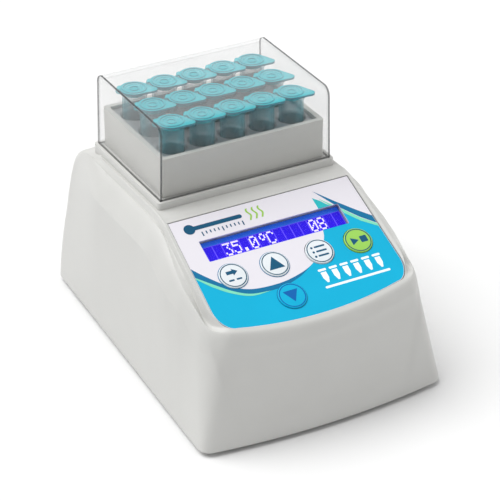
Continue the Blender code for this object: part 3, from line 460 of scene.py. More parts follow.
def smooth_line(route, steps=8):
    """Points on a Catmull-Rom curve through a route."""
    places = [np.array(p, float) for p in route]
    ends = [2 * places[0] - places[1], *places, 2 * places[-1] - places[-2]]
    points = []
    for before, start, end, after in zip(ends, ends[1:], ends[2:], ends[3:]):
        for step in range(steps):
            t = step / steps
            points.append(0.5 * (
                2 * start + (end - before) * t
                + (2 * before - 5 * start + 4 * end - after) * t ** 2
                + (3 * start - before - 3 * end + after) * t ** 3
            ))
    return [*points, places[-1]]


# --- Housing ---

FRONT_STEPS, CORNER_STEPS, SIDE_STEPS, BACK_STEPS = 64, 18, 64, 20


class Ring:
    """A closed outline round the housing: a bulged front, two sides, and a back, with round corners.

    half gives the half-width at a depth y, and bulge how far the middle of the front stands out. The
    corners take what is past a share of the front (straight), before a share of the side (first), after
    another (last) and past a share of the back (back_straight).
    """

    def __init__(self, front, back, half, bulge, straight, first, last, back_straight=0.9,
                 back_bulge=1.5):
        self.front_y, self.back_y, self.half, self.bulge = front, back, half, bulge
        self.straight, self.first, self.last = straight, first, last
        self.back_straight, self.back_bulge = back_straight, back_bulge

    def front(self, f):
        return np.array([self.half(self.front_y) * f, self.front_y - self.bulge * (1 - f * f)])

    def side(self, f):
        y = self.front_y + (self.back_y - self.front_y) * f
        return np.array([self.half(y), y])

    def back(self, f):
        return np.array([self.half(self.back_y) * f, self.back_y + self.back_bulge * (1 - f * f)])

    def point(self, station):
        """Point at a station, which is (stretch, place along it from 0 to 1, side of the housing)."""
        kind, t, sign = station
        if kind == "front":
            return self.front(self.straight * t)
        if kind == "back":
            return self.back(self.back_straight * t)
        if kind == "side":
            found = self.side(self.first + (self.last - self.first) * t)
        elif kind == "front_corner":
            found = bent(self.front(self.straight), self.side(0.0), self.side(self.first), t)
        else:
            found = bent(self.side(self.last), self.side(1.0), self.back(self.back_straight), t)
        return np.array([found[0] * sign, found[1]])


def bent(start, middle, end, t):
    """Point on the curve from start to end that is drawn towards middle."""
    return (1 - t) ** 2 * start + 2 * t * (1 - t) * middle + t ** 2 * end


def ease(value):
    """A smooth step from 0 to 1."""
    value = min(1.0, max(0.0, value))
    return value * value * (3 - 2 * value)


def stations():
    """Places round the housing, starting at the left end of the front."""
    corner = np.linspace(0, 1, CORNER_STEPS + 2)[1:-1]
    right = [("front_corner", t, 1) for t in corner]
    right += [("side", t, 1) for t in np.linspace(0, 1, SIDE_STEPS)]
    right += [("back_corner", t, 1) for t in corner]
    left = [(kind, t, -1) for kind, t, _ in reversed(right)]
    front = [("front", t, 1) for t in np.linspace(-1, 1, FRONT_STEPS + 1)]
    back = [("back", t, 1) for t in np.linspace(1, -1, BACK_STEPS + 1)]
    return front + right + back + left


def sideness(station):
    """1 on the sides, falling to 0 round the corners to the front and back."""
    kind, t, _ = station
    share = {"front": 0.0, "back": 0.0, "side": 1.0, "front_corner": t, "back_corner": 1 - t}[kind]
    return ease(share)


def top_height(y):
    """Height of the flat top, which slopes down under the control panel."""
    sloped = PANEL_TOP_Z + PANEL_LIP + (y - PANEL_TOP_Y) * math.tan(PANEL_SLOPE)
    if y < PANEL_TOP_Y:
        return sloped
    share = ease((y - PANEL_TOP_Y) / 4.5)
    return PANEL_TOP_Z + PANEL_LIP + (DECK_Z - PANEL_TOP_Z - PANEL_LIP) * share


def knee_half(y):
    """Half-width of the corner that the shoulder is rounded from."""
    return float(np.interp(y, KNEE_Y, KNEE_HALF))


def base_half(y):
    """Half-width of the lower edge."""
    return float(np.interp(y, (BASE_FRONT_Y, BASE_BACK_Y), (BASE_FRONT_HALF, BASE_BACK_HALF)))


def crest_half(y):
    """Half-width of the crest that runs beside the panel and the plinth."""
    return float(np.interp(y, CREST_Y, CREST_HALF))


def curve_points(first, middle, last, steps):
    """Points on a curve after its first point."""
    return [bent(first, middle, last, f) for f in np.linspace(0, 1, steps + 1)[1:]]


def backness(y):
    """0 along the sides, rising to 1 at the back wall."""
    return min(1.0, max(0.0, (y - BACK_START_Y) / BACK_RUN)) ** 2


def knee_height(y):
    """Height of the knee, which is the deck's height, less towards the back."""
    back = backness(y)
    return top_height(y) * (1 - back) + BACK_SHOULDER_Z * back


def shoulder_nodes(base, knee, crest, side):
    """Places that shape the section from the wall to the crest, for the plain and the stepped form."""
    back = backness(knee[1])
    across = (knee[:2] - crest[:2]) / np.linalg.norm(knee[:2] - crest[:2])
    outward = np.array([math.copysign(side + 0.02, knee[0]), math.copysign(1.02 - side, knee[1])])
    outward /= np.linalg.norm(outward)

    def near(point, reach, depth):
        place_xy = point[:2] + outward * reach
        return np.array([*place_xy, min(knee[2], top_height(place_xy[1])) - depth])

    frontness = 1 - side if knee[1] < 0 else 0.0
    drop = SIDE_DROP + (FRONT_DROP - SIDE_DROP) * frontness + (BACK_DROP - SIDE_DROP) * back
    start = knee + (base - knee) * drop / (knee[2] - base[2])
    crown_xy = knee[:2] - across * (FRONT_REACH + (BACK_REACH - FRONT_REACH) * back)
    crown = np.array([*crown_xy, top_height(crown_xy[1]) * (1 - back) + (knee[2] - 0.4) * back])
    plain = [start, (start + knee) / 2, (start + 2 * knee + crown) / 4, (knee + crown) / 2, crown,
             crown * 0.67 + crest * 0.33, crown * 0.33 + crest * 0.67]
    swell = 1 - SWELL_LOSS * ease((SWELL_START_Y - knee[1]) / SWELL_FADE)
    stepped = [near(knee, reach * swell, depth) for reach, depth in SWELL]
    stepped += [near(knee, 0.5 + 1.4 * swell, 4.6), near(knee, -0.9, STEP_DEPTH),
                near(crest, 1.1, STEP_DEPTH * 0.92), near(crest, 0.4, 0.1)]
    return plain, stepped


def wall_section(station):
    """Points from the lower edge up the wall, over the shoulder and crest, to the middle of the top."""
    rings = (
        Ring(BASE_FRONT_Y, BASE_BACK_Y, base_half, bulge=5.1, straight=0.91, first=0.035, last=0.97),
        Ring(KNEE_FRONT_Y, KNEE_BACK_Y, knee_half, bulge=7.0, straight=0.86, first=0.06, last=0.97),
        Ring(CREST_FRONT_Y, CREST_BACK_Y, crest_half, bulge=6.9, straight=0.83, first=0.08, last=0.95),
    )
    base, knee, crest = (ring.point(station) for ring in rings)
    back, side = backness(knee[1]), sideness(station)
    base = np.array([*base, FOOT_DROP])
    knee = np.array([*knee, knee_height(knee[1])])
    crest = np.array([*crest, top_height(crest[1]) + CREST_HEIGHT])
    plain, stepped = shoulder_nodes(base, knee, crest, side)
    share = side * (1 - ease((knee[1] - STEP_END_Y) / STEP_FADE))
    nodes = [p * (1 - share) + q * share for p, q in zip(plain, stepped)]
    start, low, touch, high, crown, foot, lip = nodes
    bow = (start + base) / 2 + np.array([0.0, 2.4 * back, 0.0])
    inward = np.array([*(-base[:2] / np.linalg.norm(base[:2])), 0.0])
    rim = base + (start - base) * 0.6 / (start[2] - base[2])
    points = [base + inward * 0.5, base + inward * 0.15 + np.array([0, 0, 0.18]), rim]
    points += curve_points(rim, bow, start, 22)
    points += curve_points(start, low, touch, 9)
    points += curve_points(touch, high, crown, 6)
    points += smooth_line([crown, foot, lip, crest], 3)[1:]
    points = [np.array([x, y + front_bib(x, y, z, knee[2]), z]) for x, y, z in points]
    spine_y = min(SPINE_BACK_Y, max(SPINE_FRONT_Y, crest[1]))
    middle = np.array([0.0, spine_y])
    inwards = (middle - crest[:2]) / np.linalg.norm(middle - crest[:2])
    for reach in (0.3, 0.7, CREST_WIDTH):
        place_xy = crest[:2] + inwards * reach
        height = CREST_HEIGHT * (1 - ease(reach / CREST_WIDTH))
        points.append(np.array([*place_xy, top_height(place_xy[1]) + height]))
    edge = points[-1][:2]
    for share in (0.1, 0.3, 0.65, 1.0):
        place_xy = edge * (1 - share) + middle * share
        points.append(np.array([*place_xy, top_height(place_xy[1])]))
    return points


def front_bib(x, y, z, knee_z):
    """How far the front face is sunk at a place."""
    if y > BIB_BACK_Y:
        return 0.0
    across = ease((float(np.interp(z, BIB_Z, BIB_HALF)) - abs(x)) / (2.2 + 3.0 * (1 - z / 50)) + 0.5)
    up = ease((z - BIB_LOW_Z - abs(x) * 0.05) / 7.0 + 0.5)
    under = ease((knee_z - 5.0 - z) / 5.0)
    return BIB_DEPTH * across * up * under


def hollow_section(station):
    """Points up the inside of the wall and over to the middle of the ceiling."""
    inset = SHELL_WALL
    front, back = KNEE_FRONT_Y + inset, KNEE_BACK_Y - inset
    knee_ring = dict(bulge=7.0, straight=0.86, first=0.06)
    rings = (
        Ring(BASE_FRONT_Y + inset, BASE_BACK_Y - inset, lambda y: base_half(y) - inset,
             bulge=5.1, straight=0.88, first=0.05, last=0.97),
        Ring(front, back, lambda y: knee_half(y) - inset, last=0.97, **knee_ring),
        Ring(front + 4.0, back - 22.0, lambda y: knee_half(y) - inset - 4.5, last=0.95, **knee_ring),
    )
    base, knee, crown = (ring.point(station) for ring in rings)
    knee_z = knee_height(knee[1]) - inset
    base = np.array([*base, FOOT_DROP - 1.0])
    start_drop = 6.0 + 26.0 * backness(knee[1])
    knee = np.array([*knee, knee_z - 3.0])
    crown = np.array([*crown, top_height(crown[1]) - inset - 2.0])
    start = knee + (base - knee) * start_drop / (knee_z - base[2])
    spine_y = min(SPINE_BACK_Y, max(SPINE_FRONT_Y, crown[1]))
    middle = np.array([0.0, spine_y, top_height(spine_y) - inset])
    wall = curve_points(base, (base + start) / 2, start, 3)
    return [base, *wall, *curve_points(start, knee, crown, 5), middle]


def closed_form(name, sections):
    """A solid bounded by sections from its lower edge to its middle line, and a flat bottom."""
    rows, columns = len(sections), len(sections[0])
    faces = [tuple(row * columns for row in reversed(range(rows)))]
    for row in range(rows):
        after = (row + 1) % rows
        for column in range(columns - 1):
            a, b = row * columns + column, after * columns + column
            faces.append((a, b, b + 1, a + 1))
    return from_points(name, [p for section in sections for p in section], faces)


def overlay_outline(margin=0.0):
    """Outline of the printed film on the panel's plane, widened by a margin."""
    top, low = OVERLAY_TOP_HALF + margin, OVERLAY_LOW_HALF + margin
    corner = low - OVERLAY_CORNER
    end = OVERLAY_LENGTH + margin

    def bottom(x):
        return end - OVERLAY_BOTTOM_BULGE * (x / corner) ** 2

    drop = bottom(corner) - OVERLAY_SIDE
    turn = [(corner + OVERLAY_CORNER * math.cos(a), -OVERLAY_SIDE - drop * math.sin(a))
            for a in np.radians(np.linspace(8, 80, 10))]
    curve = [(x, -bottom(x)) for x in np.linspace(corner, -corner, 41)]
    right = [(top, margin), (low, -OVERLAY_SIDE), *turn]
    return right + curve + [(-x, y) for x, y in reversed(right)]


def window_outline(margin, radius):
    """Outline of the display window on the panel's plane."""
    (width, height), (across, down) = LCD_WINDOW, LCD_CENTRE
    low = (across - width / 2 - margin, -down - height / 2 - margin)
    high = (across + width / 2 + margin, -down + height / 2 + margin)
    return rounded_rectangle(low, high, radius, 4)


def on_panel(obj):
    """Move a mesh made in the panel's own frame to its place."""
    return moved(obj, PANEL_MATRIX)


def housing():
    """The moulded shell with its plinth, panel pocket and openings."""
    shell = closed_form("housing_form", [wall_section(station) for station in stations()])
    hollow = closed_form("housing_hollow", [hollow_section(station) for station in stations()])
    plinth = slab("plinth", footprint(PLINTH_HALF, 1.6), DECK_Z - 1.4, LEDGE_Z)
    plinth = rounded(plinth, 0.45, 3, 60)
    opening = box("opening", (-SKIRT_HALF[0] - GAP, BLOCK_Y - SKIRT_HALF[1] - GAP, DECK_Z - 14),
                  (SKIRT_HALF[0] + GAP, BLOCK_Y + SKIRT_HALF[1] + GAP, LEDGE_Z + 6))
    pocket = on_panel(slab("pocket", overlay_outline(GAP), -POCKET_DEPTH, 5))
    window = on_panel(slab("window", window_outline(0.9, 0.6), -6, 3))
    holes = [on_panel(slab(f"{name}_hole", circle((u, -s), BUTTON_RADIUS + GAP), -6, 3))
             for name, (u, s) in BUTTONS.items()]
    rear = box("rear", (-REAR_HALF, 65, REAR_LOW_Z), (REAR_HALF, 95, REAR_HIGH_Z))
    shell = combine(shell, "UNION", plinth)
    shell = combine(shell, "DIFFERENCE", hollow, opening, pocket, window, *holes, rear)
    shell.name = "housing_shell"
    place(paint(shell, "housing_plastic"), "casing", "housing_plastic", "upper_housing")


# --- Control panel ---

PRINT_STEP = 0.03   # thickness of one printed colour


def window_and_holes():
    """Prisms of the window and the keys, to cut out of a print."""
    cutters = [slab("window_cut", window_outline(GAP, 0.4), -30, 30)]
    for name, (u, s) in BUTTONS.items():
        cutters.append(slab(f"{name}_cut", circle((u, -s), BUTTON_RADIUS + GAP), -30, 30))
    return cutters


def printed(name, outline, layer, material):
    """A colour printed on the film. It is trimmed to the film as a tall block, then flattened."""
    ink = slab(name, [(u, -s) for u, s in outline], -10, 10)
    ink = combine(ink, "INTERSECT", slab("film_prism", overlay_outline(-0.15), -20, 20))
    for cutter in window_and_holes():
        ink = combine(ink, "DIFFERENCE", cutter)
    for vertex in ink.data.vertices:
        vertex.co.z = (layer + (vertex.co.z > 0)) * PRINT_STEP * MM
    ink = on_panel(ink)
    ink.name = name
    return place(paint(ink, material), "casing", "overlay_film")


def overlay():
    """The film, its printed colours and a line of painted shade round its edge."""
    holes = [window_outline(GAP, 0.4)]
    holes += [circle((u, -s), BUTTON_RADIUS + GAP) for u, s in BUTTONS.values()]
    film = on_panel(slab("panel_film", overlay_outline(), -OVERLAY_THICK, 0.0, holes))
    place(paint(film, "overlay_film"), "casing", "overlay_film", "control_overlay")
    # A thin dark ring just outside the film's edge: painted shade in the gap round the film
    edge_shade = slab("panel_edge_painted_shade", overlay_outline(0.12), -OVERLAY_THICK, -0.02, [overlay_outline(0.01)])
    place(paint(on_panel(edge_shade), "border_painted_shade"), "casing", "overlay_film")
    brow = smooth_line([(-45.5, 20.5), (-43.4, 24.3), (-38.1, 30.7), (-31.8, 36.7), (-23.6, 40.7),
                        (-10.9, 41.6), (-0.2, 39.8), (7.0, 36.9), (13.5, 32.0), (17.8, 26.6), (19.6, 22.0)])
    wing = [(19.6, 20.0), (22.7, 14.0), (22.5, 6.2), (28.4, 12.2), (33.0, 18.0), (46.0, 30.0)]
    field = [*brow, *wing, (46.0, 66.0), (-46.0, 66.0)]
    printed("print_field", field, 0, "cyan_print")
    under = smooth_line([(7.0, 36.9), (-1.5, 41.4), (-12.1, 43.8), (-24.8, 43.0), (-31.4, 39.6),
                         (-38.0, 34.0), (-46.0, 26.8)])
    stripe = [p for p in brow if p[0] <= 7.01] + under
    printed("print_stripe", stripe, 1, "teal_print")
    upper = smooth_line([(-46.0, 26.4), (-38.0, 33.8), (-31.4, 39.4), (-24.8, 42.8), (-16.0, 43.9)])
    lower = smooth_line([(-16.0, 43.9), (-24.9, 43.8), (-32.2, 40.4), (-38.6, 35.2), (-43.4, 29.8)])
    printed("print_highlight", upper + lower, 2, "green_print")
    printed("print_wing", [(24.4, 3.0), (31.4, 10.6), (38.0, 17.2), (45.0, 23.6), (45.0, 27.4),
                           (38.0, 21.2), (31.2, 13.4)], 1, "teal_print")
    printed("print_wing_highlight", [(25.0, 7.2), (31.4, 14.0), (38.0, 21.6), (46.0, 28.6), (46.0, 30.0),
                                     (37.6, 23.4), (30.6, 15.4)], 2, "green_print")
    printed("print_wedge", [(22.5, 6.2), (25.5, 8.8), (28.2, 12.4), (22.8, 12.4)], 1, "lagoon_print")


def pictogram(name, shapes, layer, material, body="casing", slot_name="overlay_film", height=0.0):
    """Several flat outlines printed together, each a list of (across, down) points."""
    low = height + layer * PRINT_STEP
    parts = [slab(f"{name}_{i}", [(u, -s) for u, s in outline], low, low + PRINT_STEP)
             for i, outline in enumerate(shapes)]
    mark = on_panel(merged(name, parts))
    mark.name = name
    return place(paint(mark, material), body, slot_name)


def capsule(start, end, radius):
    """Outline of a bar with round ends."""
    angle = math.degrees(math.atan2(end[1] - start[1], end[0] - start[0]))
    return arc(end, radius, angle - 90, angle + 90) + arc(start, radius, angle + 90, angle + 270)


def thermometer_mark():
    """Generic temperature pictogram: a thermometer lying on its side over a scale, and waves of heat."""
    stem = arc((-35.6, 5.4), 2.5, 24, 336, 16) + arc((-12.0, 5.4), 1.0, -90, 90, 6)
    ticks = [capsule((u, 8.1), (u, 9.9 if index % 5 == 0 else 9.1), 0.28)
             for index, u in enumerate(np.arange(-31.0, -11.0, 1.9))]
    waves = []
    for u in (-7.6, -4.8, -2.0):
        line = [np.array([u + 0.55 * math.sin(s * 1.25), s]) for s in np.linspace(2.6, 8.6, 13)]
        left, right = (-0.42, 0), (0.42, 0)
        waves.append([tuple(p + left) for p in line] + [tuple(p + right) for p in reversed(line)])
    pictogram("mark_thermometer", [stem, *ticks], 1, "ink_print")
    pictogram("mark_heat", waves, 1, "green_mark")


def tubes_mark():
    """Generic pictogram of capped tubes standing in a block."""
    shapes = []
    for index in range(6):
        u = 9.2 + index * 5.2
        s = 40.6 + 0.02 * index
        shapes.append(rounded_rectangle((u - 1.9, s), (u + 1.9, s + 1.1), 0.45, 3))
        shapes.append([(u - 1.3, s + 1.7), (u + 1.3, s + 1.7), (u + 1.3, s + 4.6), (u + 0.4, s + 7.0),
                       (u - 0.4, s + 7.0), (u - 1.3, s + 4.6)])
    shapes.append(rounded_rectangle((6.6, 49.2), (37.8, 50.3), 0.5, 3))
    pictogram("mark_tubes", shapes, 1, "white_print")


def arrow(u, s, length, width):
    """Outline of an arrow that points right."""
    shaft, head = width * 0.24, length * 0.45
    tail, neck, tip = u - length / 2, u + length / 2 - head, u + length / 2
    return [(tail, s - shaft), (neck, s - shaft), (neck, s - width / 2), (tip, s),
            (neck, s + width / 2), (neck, s + shaft), (tail, s + shaft)]


def button_marks(name, u, s):
    """Outlines and ink of a key's pictogram."""
    if name == "button_shift":
        bars = [capsule((u + start, s + 2.2), (u + end, s + 2.2), 0.42)
                for start, end in ((-2.6, -0.9), (0.9, 2.6))]
        return "ink_print", [arrow(u, s - 1.6, 5.2, 3.4), *bars]
    if name == "button_up":
        return "ink_print", [[(u, s - 3.7), (u + 3.6, s + 2.6), (u - 3.6, s + 2.6)]]
    if name == "button_down":
        return "blue_print", [[(u, s + 3.2), (u + 3.4, s - 2.6), (u - 3.4, s - 2.6)]]
    if name == "button_program":
        shapes = []
        for row in (-2.3, 0.0, 2.3):
            shapes.append(circle((u - 2.9, s + row), 0.55, 16))
            shapes.append(capsule((u - 1.3, s + row), (u + 2.9, s + row), 0.42))
        return "ink_print", shapes
    play = [(u - 3.2, s - 1.9), (u + 0.2, s), (u - 3.2, s + 1.9)]
    stop = rounded_rectangle((u + 1.0, s - 1.6), (u + 4.2, s + 1.6), 0.3, 3)
    return "ink_print", [play, stop]


KEY_EDGE, KEY_BACK = 0.4, -1.6
STEM_RADIUS, STEM_END = 1.9, -5.4
KEY_RING = (5.3, 5.75)


def keys():
    """Domed key caps with a printed ring and pictogram."""
    faces = {"button_start_stop": "start_button_film", "button_down": "cyan_print"}
    rings = {"button_down": "blue_print"}
    top, radius = BUTTON_PROUD, BUTTON_RADIUS
    for name, (u, s) in BUTTONS.items():
        short = name.removeprefix("button_")
        edge = arc((radius - KEY_EDGE, top - KEY_EDGE), KEY_EDGE, 90, 0, 5)
        profile = [(0, top), *edge, (radius, KEY_BACK), (STEM_RADIUS, KEY_BACK), (STEM_RADIUS, STEM_END),
                   (0, STEM_END)]
        cap = on_panel(shifted(turned(f"key_{short}", profile, 64), u, -s))
        slot_name = "start_button_film" if name == "button_start_stop" else "button_film"
        place(paint(cap, faces.get(name, "button_film")), name, slot_name, name)
        low = top - 0.002
        high = low + PRINT_STEP
        profile = [(KEY_RING[0], low), (KEY_RING[0], high), (KEY_RING[1], high), (KEY_RING[1], low)]
        ring = on_panel(shifted(turned(f"key_ring_{short}", profile, 64), u, -s))
        place(paint(ring, rings.get(name, "ring_print")), name, slot_name)
        ink, shapes = button_marks(name, u, s)
        pictogram(f"key_mark_{short}", shapes, 0, ink, name, slot_name, top)


# Dot patterns of the characters shown, five dots wide and seven high
GLYPHS = {
    "0": (14, 17, 19, 21, 25, 17, 14),
    "3": (31, 2, 4, 2, 1, 17, 14),
    "5": (31, 16, 30, 1, 1, 17, 14),
    "8": (14, 17, 17, 14, 17, 17, 14),
    ".": (0, 0, 0, 0, 0, 12, 12),
    "o": (6, 9, 9, 6, 0, 0, 0),
    "C": (14, 17, 16, 16, 16, 17, 14),
}
MESSAGE = "  35.0oC    08  "
CELL_PITCH, CELL_WIDTH = 4.08, 3.55
CELL_TOP, CELL_HEIGHT = 14.4, 7.6
DOT_PITCH, DOT_HALF = (0.68, 0.92), (0.3, 0.42)
LCD_FACE, LCD_THICK, LCD_HALF = -2.75, 2.9, (35.3, 7.4)
MARGIN_LAYER, CELL_LAYER, DOT_LAYER = 0.02, 0.03, 0.06


def display():
    """Lit display behind the clear window: a back, a bright upper margin, cells and lit dots."""
    across, down = LCD_CENTRE
    face = LCD_FACE
    left, right, top = across - LCD_HALF[0], across + LCD_HALF[0], -down + LCD_HALF[1]
    back = box("lcd_panel", (left, -down - LCD_HALF[1], face - LCD_THICK), (right, top, face))
    place(paint(on_panel(back), "lcd_back"), "casing", "lcd_glass", "lcd_glass")
    strip = box("lcd_margin", (left, -CELL_TOP + 0.35, face), (right, top, face + MARGIN_LAYER))
    place(paint(on_panel(strip), "lcd_strip"), "casing", "lcd_glass")
    cells, dots = [], []
    first = across + 0.8 - 7.5 * CELL_PITCH
    for index, letter in enumerate(MESSAGE):
        u = first + index * CELL_PITCH
        cells.append(box(f"cell_{index}", (u - CELL_WIDTH / 2, -CELL_TOP - CELL_HEIGHT, face),
                         (u + CELL_WIDTH / 2, -CELL_TOP, face + CELL_LAYER)))
        for row, bits in enumerate(GLYPHS.get(letter, ())):
            for column in range(5):
                if bits >> (4 - column) & 1:
                    x = u + (column - 2) * DOT_PITCH[0]
                    y = -CELL_TOP - 0.62 - row * DOT_PITCH[1]
                    dots.append(box(f"dot_{index}_{row}_{column}", (x - DOT_HALF[0], y - DOT_HALF[1], face),
                                    (x + DOT_HALF[0], y + DOT_HALF[1], face + DOT_LAYER)))
    place(paint(on_panel(merged("lcd_cells", cells)), "lcd_cell"), "casing", "lcd_glass")
    place(paint(on_panel(merged("lcd_dots", dots)), "lcd_dot"), "casing", "lcd_glass")
    lens = on_panel(slab("window_lens", window_outline(0.0, 0.3), -0.9, -0.1))
    place(paint(rounded(lens, 0.1, 2, 60), "window_lens"), "casing", "clear_acrylic", "lcd_window")


# --- Collar, block, tubes and lid ---

def collar():
    """Plastic surround of the heat block, with a rounded rim and corners."""
    well = footprint(BLOCK_HALF, 0.8, GAP)
    body = slab("collar_body", footprint(COLLAR_HALF, 1.2), LEDGE_Z + GAP, COLLAR_TOP, [well])
    body = rounded(body, 0.55, 4, 60)
    skirt = slab("collar_skirt", footprint(SKIRT_HALF, 1.0), BLOCK_BOTTOM + 1, LEDGE_Z + 4, [well])
    body = combine(body, "UNION", skirt)
    body.name = "block_collar"
    place(paint(body, "collar_plastic"), "casing", "collar_plastic", "block_surround")


def tube_places():
    """Tube number and axis (x, y), row by row from the front left."""
    for row in range(ROWS):
        for column in range(COLUMNS):
            x = (column - (COLUMNS - 1) / 2) * PITCH_X
            y = BLOCK_Y + (row - (ROWS - 1) / 2) * PITCH_Y
            yield row * COLUMNS + column + 1, (x, y)


def block():
    """Heat block with chamfered, tapered wells."""
    body = slab("block_body", footprint(BLOCK_HALF, 1.2), BLOCK_BOTTOM, BLOCK_TOP)
    body = rounded(body, 0.5, 3, 60)
    top = BLOCK_TOP
    shape = [(0, top + 1), (6.9, top + 1), (6.5, top), (5.75, top - 0.75), (5.75, TUBE_TOP - 22.2),
             (2.8, TUBE_TOP - 39.3), (0, TUBE_TOP - 40.9)]
    wells = [shifted(turned(f"well_{number}", shape, 40), x, y) for number, (x, y) in tube_places()]
    body = combine(body, "DIFFERENCE", merged("wells", wells))
    body.name = "block_machined"
    place(paint(body, "aluminium"), "block", "aluminium", "heat_block")


def tube_body():
    """Hollow tapered body with a rolled rim, with height zero at the top of the tube's cap."""
    outer = [(5.0, -1.4), (5.85, -1.4), (6.1, -1.7), (6.1, -2.7), (5.75, -3.1), (5.4, -3.3),
             (5.4, -22.0), (4.0, -29.6), (2.0, -39.0), (1.6, -39.9), (0.8, -40.3), (0, -40.3)]
    inner = [(0, -39.3), (1.1, -38.8), (3.2, -29.6), (4.5, -21.8), (4.6, -2.4), (4.75, -1.6)]
    return turned("tube_shell", outer + inner + [outer[0]], 40)


def tube_cap():
    """Cap with a raised rim, a sunk middle, a thumb tab and a plug that seals the body."""
    radius, tab_radius, tab_reach = 6.3, 2.0, 8.1
    lean = math.degrees(math.acos((radius - tab_radius) / tab_reach))
    outline = arc((tab_reach, 0), tab_radius, -lean, lean, 8) + arc((0, 0), radius, lean, 360 - lean, 40)
    disc = rounded(slab("cap_disc", outline, -1.3, -0.35), 0.25, 2, 60)
    rim = turned("cap_rim", [(4.5, -0.6), (4.75, -0.1), (5.05, 0.0), (5.35, -0.1), (5.6, -0.6)], 40)
    dish = turned("cap_dish", [(0, -0.7), (3.5, -0.62), (3.9, -0.2), (3.9, 1), (0, 1)], 40)
    plug = turned("cap_plug", [(0, -1.1), (4.3, -1.1), (4.5, -2.4), (4.25, -3.1), (3.5, -3.1), (3.4, -1.9),
                               (0, -1.9)], 40)
    ridge = turned("cap_ridge", [(1.7, -1.0), (1.7, -0.42), (2.15, -0.42), (2.15, -1.0)], 32)
    cap = combine(disc, "DIFFERENCE", dish)
    cap = combine(cap, "UNION", rim, plug)
    cap = merged("cap", [cap, ridge])
    cap.data.materials.append(MATERIALS["tube_cap"])
    cap.data.materials.append(MATERIALS["cap_painted_shade"])
    # Steep faces on top of the cap take the darker teal: painted shade that brings out the rings
    for face in cap.data.polygons:
        steep, on_top = abs(face.normal.z) < 0.55, face.center.z > -1.6 * MM
        face.material_index = 1 if steep and on_top else 0
    return cap


def tube_strap():
    """Thin bent strap that hinges the cap to the body."""
    half, offset = 1.7, 0.28
    line = [(-5.6, -2.6), (-6.9, -2.5), (-7.6, -1.9), (-7.5, -1.1), (-6.7, -0.75), (-5.6, -0.8)]
    middle = smooth_line(line, 4)
    outer, inner = [], []
    for before, here, after in zip([middle[0], *middle], middle, [*middle[1:], middle[-1]]):
        along = (after - before) / np.linalg.norm(after - before)
        across = np.array([-along[1], along[0]]) * offset
        outer.append(tuple(here + across))
        inner.append(tuple(here - across))
    strap = slab("strap", outer + inner[::-1], -half, half)
    return moved(strap, Matrix.Rotation(math.pi / 2, 4, "X"))


def tubes():
    """Fifteen capped tubes, each on its own body."""
    body = paint(tube_body(), "tube_plastic")
    cap = tube_cap()
    strap = paint(tube_strap(), "tube_cap")
    model = merged("tube_model", [body, cap, strap])
    rng = np.random.default_rng(7)
    for number, (x, y) in tube_places():
        tube = new_object(f"microtube_{number:02d}", model.data.copy())
        turn = TUBE_TURN + math.radians(rng.uniform(-2.0, 2.0))
        moved(tube, Matrix.Translation((x * MM, y * MM, TUBE_TOP * MM)) @ Matrix.Rotation(turn, 4, "Z"))
        node = f"tube_{number:02d}"
        place(tube, node, "tube_plastic", node)
    bpy.data.objects.remove(model, do_unlink=True)


def lid():
    """Clear cover: a sheet bent over the front, top and back between two flat ends."""
    top, low = LEDGE_Z + LID_HEIGHT, LEDGE_Z

    def profile(inset):
        half, high, bend = LID_HALF[1] - inset, top - inset, LID_BEND - inset
        return (
            [(BLOCK_Y + half, low)] + arc((BLOCK_Y + half - bend, high - bend), bend, 0, 90, 10)
            + arc((BLOCK_Y - half + bend, high - bend), bend, 90, 180, 10) + [(BLOCK_Y - half, low)]
        )

    outer, inner = profile(0), profile(LID_SHEET)
    stand = Matrix.Rotation(math.pi / 2, 4, "Z") @ Matrix.Rotation(math.pi / 2, 4, "X")
    parts = []
    reach = LID_HALF[0] - LID_END
    sheet = moved(slab("sheet", outer + inner[::-1], -reach, reach), stand)
    parts.append(rounded(sheet, 0.12, 2, 70))
    for sign in (-1, 1):
        ends = sorted((sign * (reach + 0.02), sign * LID_HALF[0]))
        parts.append(rounded(moved(slab(f"end_{sign}", outer, *ends), stand), 0.15, 2, 70))
    for part in parts:
        part.data.materials.append(MATERIALS["clear_acrylic"])
        part.data.materials.append(MATERIALS["acrylic_edge_painted_shade"])
        # The rims of the ends and the lower edges take the dark grey finish: painted shade on the clear
        # edges
        for face in part.data.polygons:
            centre = face.center / MM
            on_end = abs(centre.x) > reach + 0.05
            rim = on_end and abs(face.normal.x) < 0.9
            foot = centre.z < low + 0.3
            face.material_index = 1 if rim or foot else 0
    cover = merged("lid_cover", parts)
    for vertex in cover.data.vertices:
        share = (vertex.co.z / MM - low) / LID_HEIGHT
        vertex.co.x *= 1 - LID_TAPER * share
    place(cover, "lid", "clear_acrylic", "clear_lid")


# --- Underside and back ---

def feet():
    """Round rubber feet with a hollowed tread."""
    profile = [(0, 2.7), (6.0, 2.7), (6.0, 0.7), *arc((5.4, 0.6), 0.6, 0, -90, 4), (4.2, 0.0),
               (3.9, 0.35), (3.0, 0.35), (2.7, 0.0), (0, 0.0)]
    for index, (x, y) in enumerate(FEET, 1):
        foot = shifted(turned(f"rubber_foot_{index}", profile, 48), x, y)
        place(paint(foot, "rubber"), "casing", "rubber", f"foot_{index}")


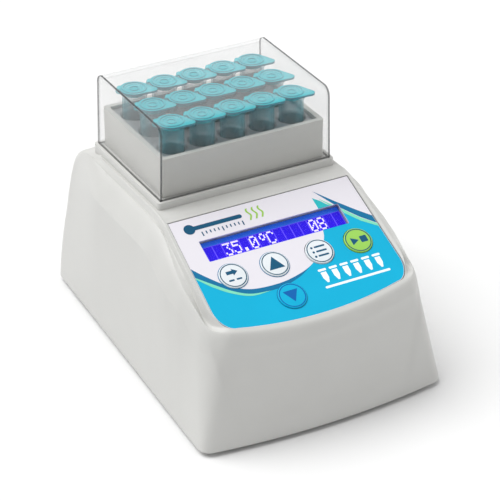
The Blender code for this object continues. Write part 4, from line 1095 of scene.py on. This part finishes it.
def carried_over():
    """Procedural finishes for the solids that are shown as they are."""
    finishes = {item["node"]: item["material_slot"] for item in frame["record"]["subparts"]}
    for name, node in frame["nodes"].items():
        if node.hide_render:
            continue
        node.data.materials.clear()
        node.data.materials.append(MATERIALS[finishes[name]])
        node.data.shade_smooth()
        node.data.set_sharp_from_angle(angle=math.radians(30))


# --- Stage ---

def stage():
    """Pale floor, even studio light and the camera."""
    scene = bpy.context.scene
    scene.view_settings.view_transform = "Standard"
    half = FLOOR_HALF
    corners = [(-half, -half, 0), (half, -half, 0), (half, half, 0), (-half, half, 0)]
    floor = from_points("floor", corners, [(0, 1, 2, 3)])
    paper = textured(FLOOR_COLOUR, 0.9, tone=0.004, tone_scale=3)
    paper.name = "floor_paper"
    floor.data.materials.append(paper)
    world = bpy.data.worlds.new("studio")
    world.use_nodes = True
    sky = world.node_tree.nodes["Background"]
    sky.inputs["Color"].default_value = (1.0, 1.0, 1.0, 1.0)
    sky.inputs["Strength"].default_value = SKY_STRENGTH
    scene.world = world
    for name, energy, spread, direction in SUNS:
        light = bpy.data.lights.new(name, "SUN")
        light.energy = energy
        light.angle = math.radians(spread)
        sun = bpy.data.objects.new(name, light)
        scene.collection.objects.link(sun)
        sun.rotation_euler = Vector(direction).to_track_quat("Z", "Y").to_euler()
    camera = bpy.data.cameras.new("camera")
    camera.sensor_width = CAMERA_SENSOR
    camera.lens = CAMERA_LENS
    camera.clip_start = 0.05
    holder = bpy.data.objects.new("camera", camera)
    scene.collection.objects.link(holder)
    turn, lift = CAMERA_TURN, CAMERA_LIFT
    back = Vector((math.sin(turn) * math.cos(lift), -math.cos(turn) * math.cos(lift), math.sin(lift)))
    right = Vector((math.cos(turn), math.sin(turn), 0))
    facing = Matrix((right, back.cross(right), back)).transposed().to_4x4()
    eye = Vector(CAMERA_AIM) * MM + back * CAMERA_DISTANCE
    holder.matrix_world = Matrix.Translation(eye) @ facing
    scene.camera = holder


stage()
housing()
overlay()
thermometer_mark()
tubes_mark()
keys()
display()
collar()
block()
tubes()
lid()
feet()
carried_over()

bpy.context.view_layer.update()
